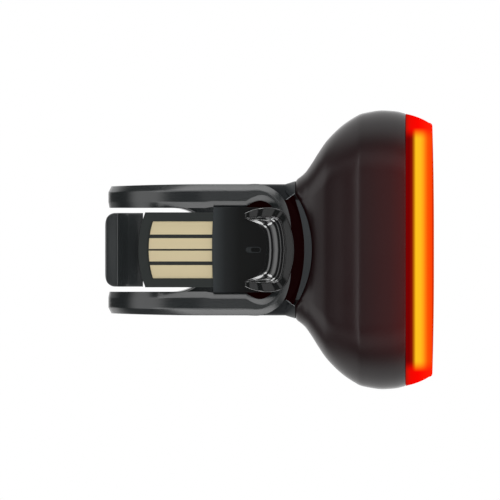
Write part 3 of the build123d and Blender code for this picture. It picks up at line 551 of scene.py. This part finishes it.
# Guard: flat tongue under the plug that ends in a finger tab with a scooped face. Its face and back are
# points of (x, height).
guard = dict(
    left=-16.6, right=5.6, tabRight=-10.55, tabHalfZ=5.9, tongueHalfZ=5.0, corner=1.6, edge=0.35,
    face=((-16.6, 17.3), (-14.8, 17.3), (-13.9, 15.9), (-12.9, 14.9), (-11.2, 14.45), (5.6, 14.45)),
    back=((-16.6, 14.6), (-14.4, 14.2), (-11.8, 13.75), (5.6, 13.75)),
    stepAt=0.001, tipSteps=7, tabSteps=40, tongueSteps=70, cornerSteps=6)


# Heights of the guard's face and back at x on smooth curves, and half its width, round at the finger end
def guardProfile(x):
    face, back = (smoothCurve(*zip(*guard[k]), x) for k in ("face", "back"))
    r = guard["corner"]
    into = np.clip(guard["left"] + r - x, 0, r)
    half = guard["tabHalfZ"] - r + np.sqrt(r ** 2 - into ** 2)
    half = np.where(x > guard["tabRight"], guard["tongueHalfZ"], half)
    return face, back, half


# Rounded loops across X whose height and width follow the profile, drawn in along an arc at the finger end
def buildGuard():
    e = guard["edge"]
    tip = guard["left"] + e * (1 - np.cos(np.linspace(0, pi / 2, guard["tipSteps"])))
    body = np.linspace(guard["left"] + e, guard["tabRight"] - guard["stepAt"], guard["tabSteps"])[1:]
    tongue = np.linspace(guard["tabRight"] + guard["stepAt"], guard["right"], guard["tongueSteps"])
    xs = np.concatenate([tip, body, tongue])
    face, back, half = guardProfile(xs)
    into = np.clip(guard["left"] + e - xs, 0, e)
    draw = e - np.sqrt(e ** 2 - into ** 2)
    q = np.linspace(0, pi / 2, guard["cornerSteps"])
    grid = []
    for x, f, b, h in zip(xs, face - draw, back + draw, half - draw):
        r = min(e, (f - b) / 2 - 0.01)
        loop = []
        for k, (sy, sz) in enumerate(((1, 1), (-1, 1), (-1, -1), (1, -1))):
            a = q + k * pi / 2
            out = (f if sy > 0 else b) - sy * r
            loop.append(np.stack([out + r * np.cos(a), sz * (h - r) + r * np.sin(a)], axis=1))
        loop = np.concatenate(loop)
        grid.append(np.column_stack([np.full(len(loop), x), -loop[:, 0], loop[:, 1]]))
    return meshFromRows("guardTab", grid, 45)


# Hook: glossy block over the plug's root, with a horseshoe lip that holds the strap's bend. Its plan curves
# are (x, z) on one side. The wall is (share of its width, slope in degrees) from foot to rim, behind the
# plug and at the horns. The rim steps down towards the horns: (x at a step's start, x at its end, drop).
hook = dict(
    outer=((5.76, 6.05), (7.0, 6.55), (8.6, 6.85), (10.2, 6.85), (11.5, 6.5), (12.35, 5.6),
           (12.95, 4.1), (13.5, 2.2), (13.72, 0.0)),
    rim=((5.76, 5.15), (7.5, 5.25), (9.5, 5.3), (10.8, 5.2), (11.45, 4.7), (11.85, 3.7), (12.15, 2.2),
         (12.35, 0.0)),
    foot=((5.95, 4.95), (7.0, 4.5), (8.0, 3.85), (8.7, 2.9), (9.0, 1.6), (9.08, 0.0)),
    under=((5.9, 5.9), (7.0, 6.0), (8.0, 5.9), (9.3, 5.0), (10.3, 3.6), (10.95, 1.8), (11.15, 0.0)),
    wall=((0.10, 8), (0.08, 20), (0.13, 33), (0.035, 8), (0.09, 27), (0.24, 33), (0.04, 10), (0.10, 28),
          (0.10, 12), (0.085, 72)),
    hornWall=((0.05, 10), (0.42, 33), (0.06, 8), (0.12, 33), (0.27, 66), (0.08, 78)),
    hornFrom=10.9, hornTo=9.9,
    rimSteps=((11.9, 11.0, 0.2), (10.8, 9.9, 0.19), (8.4, 7.6, 0.17), (6.5, 5.9, 0.1)),
    top=18.98, floor=17.0, footDrop=0.4, lip=16.35, flankLow=16.8, lipEdge=0.15, halfZ=6.85, edge=0.1,
    flank=0.06, innerEdge=0.08, rimRise=0.02, steps=72, wallRows=60, rimRows=5, edgeSteps=5)
block = dict(
    left=0.72, bulge=0.24, bulgeTo=3.0, halfZ=6.8, top=17.0, bottom=13.75, right=9.6, edge=0.15,
    edgeSteps=7, runSteps=20, topSteps=25, pipeX=7.1, pipeHalfX=1.3, pipeR=0.55, pipeLow=16.2,
    pipeSteps=20)


# Profile carried round the horseshoe: wall from foot to rim in straight slopes with smooth joints, flat
# rim, rounded edges, a flank that leans out towards its lower edge, and the undercut behind the lip
def buildHook():
    def whole(points):
        half = throughPoints(points, hook["steps"])
        return np.concatenate([half, half[::-1][1:] * np.array([1, -1])])

    def wallCurve(spans):
        part, slope = np.array(spans).T
        rise = part * np.tan(np.radians(slope))
        places, heights = (np.concatenate([[0], np.cumsum(v)]) for v in (part, rise))
        return smoothCurve(places / places[-1], heights / heights[-1], shares)[1:]

    outer, rim, foot, under = (whole(hook[k]) for k in ("outer", "rim", "foot", "under"))
    top, floor, lip, e, inner = (hook[k] for k in ("top", "floor", "lip", "edge", "innerEdge"))
    for start, done, drop in hook["rimSteps"]:
        top = top - drop * smoothShare(rim[:, 0], start, done)
    shares = np.linspace(0, 1, hook["wallRows"])
    atHorn = smoothShare(rim[:, 0], hook["hornFrom"], hook["hornTo"])
    toRim = (rim - outer) / np.linalg.norm(outer - rim, axis=1)[:, None]
    wallTop = rim + toRim * inner
    quarter = np.linspace(0, pi / 2, hook["edgeSteps"])

    rows = [(foot, floor - hook["footDrop"]), (foot, floor)]
    for share, rise, hornRise in zip(shares[1:], wallCurve(hook["wall"]), wallCurve(hook["hornWall"])):
        height = rise * (1 - atHorn) + hornRise * atHorn
        rows.append((foot + (wallTop - foot) * share, floor + (top - inner - floor) * height))
    for a in quarter[1:]:                              # small round at the inner edge of the rim
        rows.append((wallTop - toRim * inner * (1 - np.cos(a)), top - inner * (1 - np.sin(a))))
    shoulder = outer + toRim * (e + hook["flank"] * (outer[:, 1:] / hook["halfZ"]) ** 2)
    for share in np.linspace(0, 1, hook["rimRows"] + 1)[1:-1]:
        rows.append((rim * (1 - share) + (shoulder + toRim * e) * share, top + hook["rimRise"] * share))
    for a in quarter:                                  # small round at the outer edge
        rows.append((shoulder + toRim * e * (1 - np.sin(a)), top + hook["rimRise"] - e * (1 - np.cos(a))))
    cut = hook["lipEdge"]
    rows += [(outer, hook["flankLow"]), (outer, lip + cut), (outer + toRim * cut, lip), (under, lip),
             (under, block["bottom"]), (foot, block["bottom"])]
    grid = np.array([np.column_stack([p[:, 0], np.full(len(p), -1.0) * h, p[:, 1]]) for p, h in rows])
    return meshFromRows("hookLip", grid.transpose(1, 0, 2), 38)


# Slab whose edges are rounded: loops across X, drawn in at the left end, which bows out with a parabola.
# The light pipe's seat is cut into it.
def buildBlock():
    e, half = block["edge"], block["halfZ"]
    a = np.linspace(0, pi / 2, block["edgeSteps"])
    run = np.linspace(block["left"] + e, block["right"], block["runSteps"])[1:]
    xs = np.concatenate([block["left"] + e * (1 - np.cos(a)), run])
    draw = np.concatenate([e * (1 - np.sin(a)), np.zeros(len(run))])
    side = np.linspace(-1, 1, block["topSteps"])[1:-1]
    grid = []
    for x, d in zip(xs, draw):
        top = block["top"] - d
        loop = [[block["bottom"], -half]]
        loop += [[top - e * (1 - np.sin(v)), -half + e * (1 - np.cos(v))] for v in a]
        loop += [[top, v * (half - e)] for v in side]
        loop += [[top - e * (1 - np.cos(v)), half - e * (1 - np.sin(v))] for v in a]
        loop.append([block["bottom"], half])
        loop = np.array(loop)
        reach = np.clip((block["left"] + block["bulgeTo"] - x) / block["bulgeTo"], 0, 1)
        bow = block["bulge"] * (1 - (loop[:, 1] / half) ** 2) * reach
        grid.append(np.column_stack([x - bow, -loop[:, 0], loop[:, 1]]))
    slab = meshFromRows("plugBlock", grid, 40)
    r = block["pipeR"]
    a = np.linspace(0, pi, block["pipeSteps"])
    end = np.column_stack([block["pipeHalfX"] - r + r * np.sin(a), r * np.cos(a)])
    plan = np.concatenate([end, -end]) + (block["pipeX"], 0)
    seat = [np.column_stack([plan[:, 0], np.full(len(plan), -h), plan[:, 1]])
            for h in (block["pipeLow"], block["top"] + 1)]
    cutWith(slab, meshFromRows("pipeSeat", seat, 40), 40)
    return slab


# Polished black ABS: near black, with clear sharp reflections
def makeGlossBlack():
    return startMaterial("polishedAbsBlack", {"Base Color": linear("080909"), "Roughness": 0.1, "IOR": 1.6,
                                              "Specular IOR Level": 1.0}, (0.6, 0.01, 0.02))[0]


# Pocket: collar with a sloped face between the casing and the pocket, and a dark sheet on the pocket's floor,
# painted shade with a painted red glow. Collar and sheet meet on the circle of radius innerR about innerX.
pocket = dict(
    outerR=16.45, innerR=22.55, innerX=-7.3, halfZ=8.0, slope=0.05, proud=0.03, low=13.72, steps=64,
    faceAt=(0.06, 0.5, 0.94, 1.0), floorHigh=13.78, floorLeft=5.4, floorHalfZ=7.98, floorSteps=64,
    floorGap=0.01, sideGap=0.02, wallR=15.26, wallSlope=2.78, mouthX=12.3, mouthSlope=0.71,
    beadHalf=0.07, beadLow=13.6, beadHigh=((12.35, 14.35), (13.7, 15.05)), beadSteps=8)


# Crescent between the arc of the casing's edge and a flatter arc, sloping down towards the post
def buildCollar():
    grid = []
    for z in np.linspace(-1, 1, pocket["steps"]) * pocket["halfZ"]:
        out = np.sqrt(pocket["outerR"] ** 2 - z ** 2)
        inner = pocket["innerX"] + np.sqrt(pocket["innerR"] ** 2 - z ** 2)
        top = float(casingHeight(out, z, "ys", "zs")) + pocket["proud"]
        fall = (out - inner) * pocket["slope"]
        profile = [(out, pocket["low"]), (out, top)]
        profile += [(out + (inner - out) * w, top - fall * w) for w in pocket["faceAt"]]
        profile.append((inner, pocket["low"]))
        grid.append([(x, -h, z) for x, h in profile])
    return meshFromRows("pocketCollar", grid, 35)


# Thin dark plate laid on the pocket's floor as painted shade, from the neck to the collar, as wide as the
# pocket's mouth. Past the radius wallR about the post's axis it climbs the pocket's sloped wall in a straight
# line.
def buildPocketShadeSheet():
    across = np.linspace(-1, 1, pocket["steps"] + 1)
    last = pocket["innerX"] + pocket["innerR"] - pocket["floorGap"]
    grid = []
    for x in np.linspace(pocket["floorLeft"], last, pocket["floorSteps"]):
        half = pocket["floorHalfZ"] + max(x - pocket["mouthX"], 0) * pocket["mouthSlope"]
        half = min(half, np.sqrt(pocket["innerR"] ** 2 - (x - pocket["sideGap"] - pocket["innerX"]) ** 2))
        z = across * half
        climb = np.clip(np.hypot(x, z) - pocket["wallR"], 0, None) * pocket["wallSlope"]
        loop = [(-pocket["low"], -half), *zip(-(pocket["floorHigh"] + climb), z), (-pocket["low"], half)]
        grid.append([(x, v, w) for v, w in loop])
    return meshFromRows("pocketShadeSheet", grid, 35)


# Thin pale bead along the pocket's mouth, a painted highlight where the neck's polished edge catches the
# light: a five-sided section carried along the mouth's straight line
def buildMouthEdge(side):
    (x0, h0), (x1, h1) = pocket["beadHigh"]
    b, low = pocket["beadHalf"], pocket["beadLow"]
    grid = []
    for w in np.linspace(0, 1, pocket["beadSteps"]):
        x = x0 + (x1 - x0) * w
        z = pocket["floorHalfZ"] + (x - pocket["mouthX"]) * pocket["mouthSlope"]
        high = h0 + (h1 - h0) * w
        section = [(z - b, low), (z - b, high), (z, high + b), (z + b, high), (z + b, low)]
        grid.append([(x, -h, side * v) for v, h in section])
    return meshFromRows("mouthEdge", grid, 35)


# Black ABS of the neck, satin outside. Inside the lines of the pocket's mouth it is painted a near black red:
# painted shade of the pocket with a painted red glow of the lamp
def makeNeckPlastic():
    material, tree, shader, place = startMaterial("neckAbsSatinPocketShade", {
        "Roughness": 0.38, "IOR": 1.54, "Specular IOR Level": 0.35}, (0.3, 0.04, 0.02))
    parts = addNode(tree, "SeparateXYZ", {}, {"Vector": place})
    height = addNode(tree, "Math", {"operation": "ABSOLUTE"}, {0: parts.outputs["Z"]})
    past = addNode(tree, "Math", {"operation": "SUBTRACT", 1: pocket["mouthX"] * mm},
                   {0: parts.outputs["X"]})
    past = addNode(tree, "Math", {"operation": "MAXIMUM", 1: 0.0}, {0: past.outputs[0]})
    mouth = addNode(tree, "Math", {"operation": "MULTIPLY_ADD", 1: pocket["mouthSlope"],
                    2: pocket["floorHalfZ"] * mm}, {0: past.outputs[0]})
    beyond = addNode(tree, "Math", {"operation": "SUBTRACT"}, {0: height.outputs[0], 1: mouth.outputs[0]})
    # Painted shade and glow: near black red inside the mouth's lines, the neck's grey outside
    colour = colourBy(tree, beyond.outputs[0], [(0.0, "0D0203"), (0.00008, "1F2224")], -0.001, 0.001)
    tree.links.new(colour, shader.inputs["Base Color"])
    return material


# Painted shade of the pocket: near black and dull, with a dark red painted glow that stands for the lamp's
# light from inside
def makePocketShadeAndGlow():
    return startMaterial("pocketPaintedShadeAndGlow", {
        "Base Color": linear("0D0203"), "Roughness": 0.6, "IOR": 1.58, "Specular IOR Level": 0.05,
        "Emission Color": linear("0C0000"), "Emission Strength": 1.0}, (0.4, 0.05, 0.03))[0]


# The same black ABS as the hook, from a finely blasted part of the mould: soft. Its colour is painted paler
# towards the plug, a painted sheen that stands for light reflected there
def makeBlockPlastic():
    material, tree, shader, place = startMaterial("satinAbsBlackPaintedSheen", {
        "Roughness": 0.3, "IOR": 1.54, "Specular IOR Level": 0.15}, (0.3, 0.04, 0.02))
    parts = addNode(tree, "SeparateXYZ", {}, {"Vector": place})
    # Painted sheen: the base colour runs from pale grey at the plug to near black past the hook
    colour = colourBy(tree, parts.outputs["X"], [(0.0005, "34383A"), (0.0026, "1F2122"), (0.0048, "141515"),
                                                 (0.0090, "121212")], 0.0004, 0.0095)
    tree.links.new(colour, shader.inputs["Base Color"])
    return material


# Smoked light pipe: a dark lamp window in the middle of a paler moulded rim. In metres: the window's middle
# and half the length of its straight part, then colours by the distance from that part
pipe = dict(
    windowX=0.00745, straight=0.0004, colourTo=0.001,
    colours=((0.00030, "030303"), (0.00040, "232627"), (0.0007, "232627")))


def makeLightPipe():
    material, tree, shader, place = startMaterial("smokedLightPipe", {
        "Roughness": 0.2, "IOR": 1.54, "Specular IOR Level": 0.25}, (0.4, 0.02, 0.02))
    parts = addNode(tree, "SeparateXYZ", {}, {"Vector": place})
    along = parts.outputs["X"]
    for step in ({"operation": "SUBTRACT", 1: pipe["windowX"]}, {"operation": "ABSOLUTE"},
                 {"operation": "SUBTRACT", 1: pipe["straight"]}, {"operation": "MAXIMUM", 1: 0.0}):
        along = addNode(tree, "Math", step, {0: along}).outputs[0]
    flatPlace = addNode(tree, "CombineXYZ", {}, {"X": along, "Z": parts.outputs["Z"]})
    radius = addNode(tree, "VectorMath", {"operation": "LENGTH"}, {0: flatPlace.outputs[0]})
    colour = colourBy(tree, radius.outputs["Value"], pipe["colours"], 0.0, pipe["colourTo"])
    tree.links.new(colour, shader.inputs["Base Color"])
    return material


# Finish of one small part: its own colour and shine over a fine moulded or machined grain
def makePlain(name, colour, roughness, metallic=0.0, ior=1.5, grain=0.2, bumpStrength=0.1):
    return startMaterial(name, {"Base Color": linear(colour), "Roughness": roughness, "Metallic": metallic,
                                "IOR": ior}, (grain, bumpStrength, 0.03))[0]


# One material for the whole piece, in every slot that it has
def giveMaterial(obj, material):
    slots = obj.data.materials
    if not slots:
        slots.append(material)
    for i in range(len(slots)):
        slots[i] = material


print("building the pieces")
silicone = makeSilicone("siliconeRubberBlack", "131617")
# The guard's silicone is the strap's, painted paler: a painted sheen for the light its tab face catches
guardSiliconeSheen = makeSilicone("siliconeRubberPaintedSheen", "282B2C")
glossBlack = makeGlossBlack()
casingPlastic = makeCasingPlastic()
lensPlastic = makeLensPlastic()

skinPiece = buildCasing()
cutWith(skinPiece, buildButtonSlot(), 50)
giveMaterial(skinPiece, casingPlastic)
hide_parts("head_shell")
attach(skinPiece, "light")

buttonPiece = buildButton()
giveMaterial(buttonPiece, silicone)
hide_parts("button_cap")
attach(buttonPiece, "button")

collarPiece = buildCollar()
# The collar's grey is a painted reflection: black ABS painted pale so that its sloped face looks lit
giveMaterial(collarPiece, makePlain("collarAbsPaintedReflection", "303335", 0.45, ior=1.4))
# The pocket's dark sheet: painted shade and a painted red glow over its floor
pocketShadePiece = buildPocketShadeSheet()
giveMaterial(pocketShadePiece, makePocketShadeAndGlow())
# The beads' pale grey is a painted highlight
edgeHighlightPaint = makePlain("mouthEdgePaintedHighlight", "8C9092", 0.3)
mouthEdges = [buildMouthEdge(1), buildMouthEdge(-1)]
for piece in mouthEdges:
    giveMaterial(piece, edgeHighlightPaint)
for piece in (collarPiece, pocketShadePiece, *mouthEdges):
    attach(piece, "light")

lensPiece = buildLens()
giveMaterial(lensPiece, lensPlastic)
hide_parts("lens")
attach(lensPiece, "light")

strapPiece = buildStrap()
giveMaterial(strapPiece, silicone)
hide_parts("strap_web", "strap_bands", "strap_end")
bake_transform(strapPiece)

guardPiece = buildGuard()
giveMaterial(guardPiece, guardSiliconeSheen)
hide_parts("guard_root", "plug_guard")
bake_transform(guardPiece)

hookPiece = buildHook()
blockPiece = buildBlock()
giveMaterial(hookPiece, glossBlack)
giveMaterial(blockPiece, makeBlockPlastic())
for piece in (hookPiece, blockPiece):
    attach(piece, "light")
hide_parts("usb_housing")

# One real material for each slot of the record. The neck has its own
print("finishing the carried-over nodes")
finishes = {
    "seal_rubber": makePlain("nitrileRubber", "1B1B1B", 0.6),
    "gloss_black": glossBlack,
    "screw_steel": makePlain("zincPlatedSteel", "A9ABAE", 0.28, 1.0),
    "strap_silicone": silicone,
    "light_pipe": makeLightPipe(),
    "plug_plastic": makePlain("glassFilledNylonBlack", "262A29", 0.42, grain=0.15),
    "gilt": makePlain("goldPlatedCopper", "DACBA4", 0.45, 0.3, grain=0.5, bumpStrength=0.06),
    "flex_film": makePlain("polyimideFilm", "B4640F", 0.25),
    "cell_foil": makePlain("laminatedFoil", "B9BBC0", 0.3, 1.0, grain=1.2, bumpStrength=0.3),
    "foam": makePlain("closedCellFoam", "2A2A2C", 0.9, grain=0.3, bumpStrength=0.5),
    "circuit_board": makePlain("solderMaskGreen", "14542A", 0.3),
    "chips": makePlain("epoxyMouldedChip", "1C1C1E", 0.5),
    "led_metal": makePlain("whiteMaskedAluminium", "DADAD8", 0.35),
    "tray_white": makePlain("whitePolycarbonate", "DDDDD8", 0.45),
    "phosphor": makePlain("lampResin", "E8521C", 0.3),
    "casing": casingPlastic,
    "red_lens": lensPlastic,
}
for subpart in frame["record"]["subparts"]:
    giveMaterial(frame["nodes"][subpart["node"]], finishes[subpart["material_slot"]])
giveMaterial(frame["nodes"]["back_cover"], makeNeckPlastic())


# Floor and camera in metres: the camera looks along Y from away, at a picture as wide as scale
stage = dict(
    floorZ=-0.060, floorSize=1.6, floorColour="E6E6E6", floorGlow=0.4,
    scale=0.080, aimX=0.00656, aimZ=-0.00003, away=0.6)

# The room as it shows in reflections: dim, with a small soft box straight in front, one above and one below
# it, cards at both sides, a sweep above and below, and a pale field behind. Each field is a strength and
# soft windows over the direction: (part of the direction, where the window starts, where it is full).
room = dict(
    level=0.05,
    fields=((0.32, (("y", -0.975, -0.995),)),
            (0.42, (("y", -0.55, -0.75), ("up", 0.25, 0.5))),
            (1.15, (("y", -0.72, -0.40), ("y", 0.35, 0.0), ("aside", 0.35, 0.6), ("up", 0.6, 0.4))),
            (0.85, (("y", -0.6, 0.15), ("up", 0.0, 0.3), ("aside", 0.8, 0.5))),
            (0.8, (("y", 0.90, 0.99),))))

# Lamps in metres and watts, each turned by degrees or aimed at a point. The first two light everything. The
# strips light one piece each, along its edges, and those from edgeStrip on come in pairs, above and below.
lamps = dict(
    frontFill=dict(place=(0.0, -0.5, 0.12), turn=(76, 0, 0), size=(0.4, 0.4), power=1.3),
    topBox=dict(place=(0.02, -0.02, 0.4), turn=(-3, 0, 0), size=(0.3, 0.3), power=0.7),
    ridgeStrip=dict(place=(-0.094, -0.440, 0.0), turn=(90, 0, -12), size=(0.06, 0.7), power=0.27),
    edgeStrip=dict(place=(0.0, -0.03, 0.4), turn=(0, 0, 0), size=(0.3, 0.2), power=0.45),
    hookStrip=dict(place=(-0.19, -0.19, 0.30), aim=(0.008, -0.018, 0.0), size=(0.24, 0.24), power=1.05),
    outerBevel=dict(place=(-0.25, -0.24987, 0.32), aim=(-0.25, 0.0, 0.0), size=(1.0, 0.10), power=0.94),
    innerBevel=dict(place=(-0.25, -0.3796, 0.144), aim=(-0.25, 0.0, 0.0), size=(1.0, 0.10), power=0.68))


# Pale floor, which shows as white to the camera. Like a glass table, it lets the lamps below through
def buildFloor():
    material, tree, shader = startMaterial("paleFloor", {
        "Base Color": linear(stage["floorColour"]), "Roughness": 0.9, "Emission Color": linear("FFFFFF")})[:3]
    path = addNode(tree, "LightPath")
    seen = addNode(tree, "Math", {"operation": "MULTIPLY", 1: stage["floorGlow"]},
                   {0: path.outputs["Is Camera Ray"]})
    tree.links.new(seen.outputs[0], shader.inputs["Emission Strength"])
    half = stage["floorSize"] / 2
    mesh = bpy.data.meshes.new("floor")
    corners = [(x * half, y * half, stage["floorZ"]) for x, y in ((-1, -1), (1, -1), (1, 1), (-1, 1))]
    mesh.from_pydata(corners, [], [(0, 1, 2, 3)])
    floor = bpy.data.objects.new("floor", mesh)
    bpy.context.collection.objects.link(floor)
    giveMaterial(floor, material)
    floor.visible_glossy = False
    floor.visible_shadow = False


# The room's level plus each field: its strength times the product of its windows. The camera sees white
def buildRoom():
    world = bpy.data.worlds.new("studio")
    bpy.context.scene.world = world
    world.use_nodes = True
    tree = world.node_tree
    background = tree.nodes["Background"]
    background.inputs["Color"].default_value = linear("FFFFFF")
    place = addNode(tree, "TexCoord")
    parts = addNode(tree, "SeparateXYZ", {}, {"Vector": place.outputs["Generated"]})
    aside, up = (addNode(tree, "Math", {"operation": "ABSOLUTE"}, {0: parts.outputs[k]}).outputs[0]
                 for k in "XZ")
    sources = {"y": parts.outputs["Y"], "aside": aside, "up": up}
    level = None
    for strength, windows in room["fields"]:
        share = None
        for part, start, full in windows:
            window = addNode(tree, "MapRange", {
                "interpolation_type": "SMOOTHSTEP", "From Min": start, "From Max": full},
                {"Value": sources[part]})
            share = addNode(tree, "Math", {"operation": "MULTIPLY", 1: 1.0},
                            {0: window.outputs["Result"], 1: share}).outputs[0]
        level = addNode(tree, "Math", {"operation": "MULTIPLY_ADD", 1: strength, 2: room["level"]},
                        {0: share, 2: level}).outputs[0]
    path = addNode(tree, "LightPath")
    seen = addNode(tree, "Math", {"operation": "MAXIMUM"},
                   {0: path.outputs["Is Camera Ray"], 1: path.outputs["Is Transmission Ray"]})
    strength = addNode(tree, "MapRange", {"To Max": 1.0}, {"Value": seen.outputs[0], "To Min": level})
    tree.links.new(strength.outputs["Result"], background.inputs["Strength"])


# One lamp, or its mirror image in Z with side -1. Given a piece of its own, it lights only that piece,
# which reflects it too. Elsewhere the room gives the reflections
def addLamp(name, piece=None, side=1):
    settings = lamps[name]
    data = bpy.data.lights.new(name, "AREA")
    data.shape = "RECTANGLE"
    data.size, data.size_y = settings["size"]
    data.energy = settings["power"]
    lamp = bpy.data.objects.new(name, data)
    bpy.context.collection.objects.link(lamp)
    x, y, z = settings["place"]
    lamp.location = (x, y, z * side)
    if "aim" in settings:
        lamp.rotation_euler = (Vector(settings["aim"]) - lamp.location).to_track_quat("-Z", "Y").to_euler()
    else:
        tilt, roll, turn = settings["turn"]
        lamp.rotation_euler = [radians(v) for v in (90 - (90 - tilt) * side, roll, turn)]
    lamp.visible_camera = False
    lamp.visible_glossy = piece is not None
    if piece is not None:
        alone = bpy.data.collections.new(name + "Lit")
        alone.objects.link(piece)
        lamp.light_linking.receiver_collection = alone


def buildCamera():
    camera = bpy.data.cameras.new("camera")
    camera.type = "ORTHO"
    camera.ortho_scale = stage["scale"]
    camera.clip_start = 0.01
    camera.clip_end = 5
    eye = bpy.data.objects.new("camera", camera)
    eye.location = (stage["aimX"], -stage["away"], stage["aimZ"])
    eye.rotation_euler = (radians(90), 0, 0)
    bpy.context.collection.objects.link(eye)
    bpy.context.scene.camera = eye
    bpy.context.scene.view_settings.view_transform = "Standard"


print("stage, lamps and camera")
buildFloor()
buildRoom()
addLamp("frontFill")
addLamp("topBox")
addLamp("ridgeStrip", skinPiece)
for side in (1, -1):
    addLamp("edgeStrip", hookPiece, side)
    addLamp("hookStrip", hookPiece, side)
    addLamp("outerBevel", strapPiece, side)
    addLamp("innerBevel", strapPiece, side)
buildCamera()
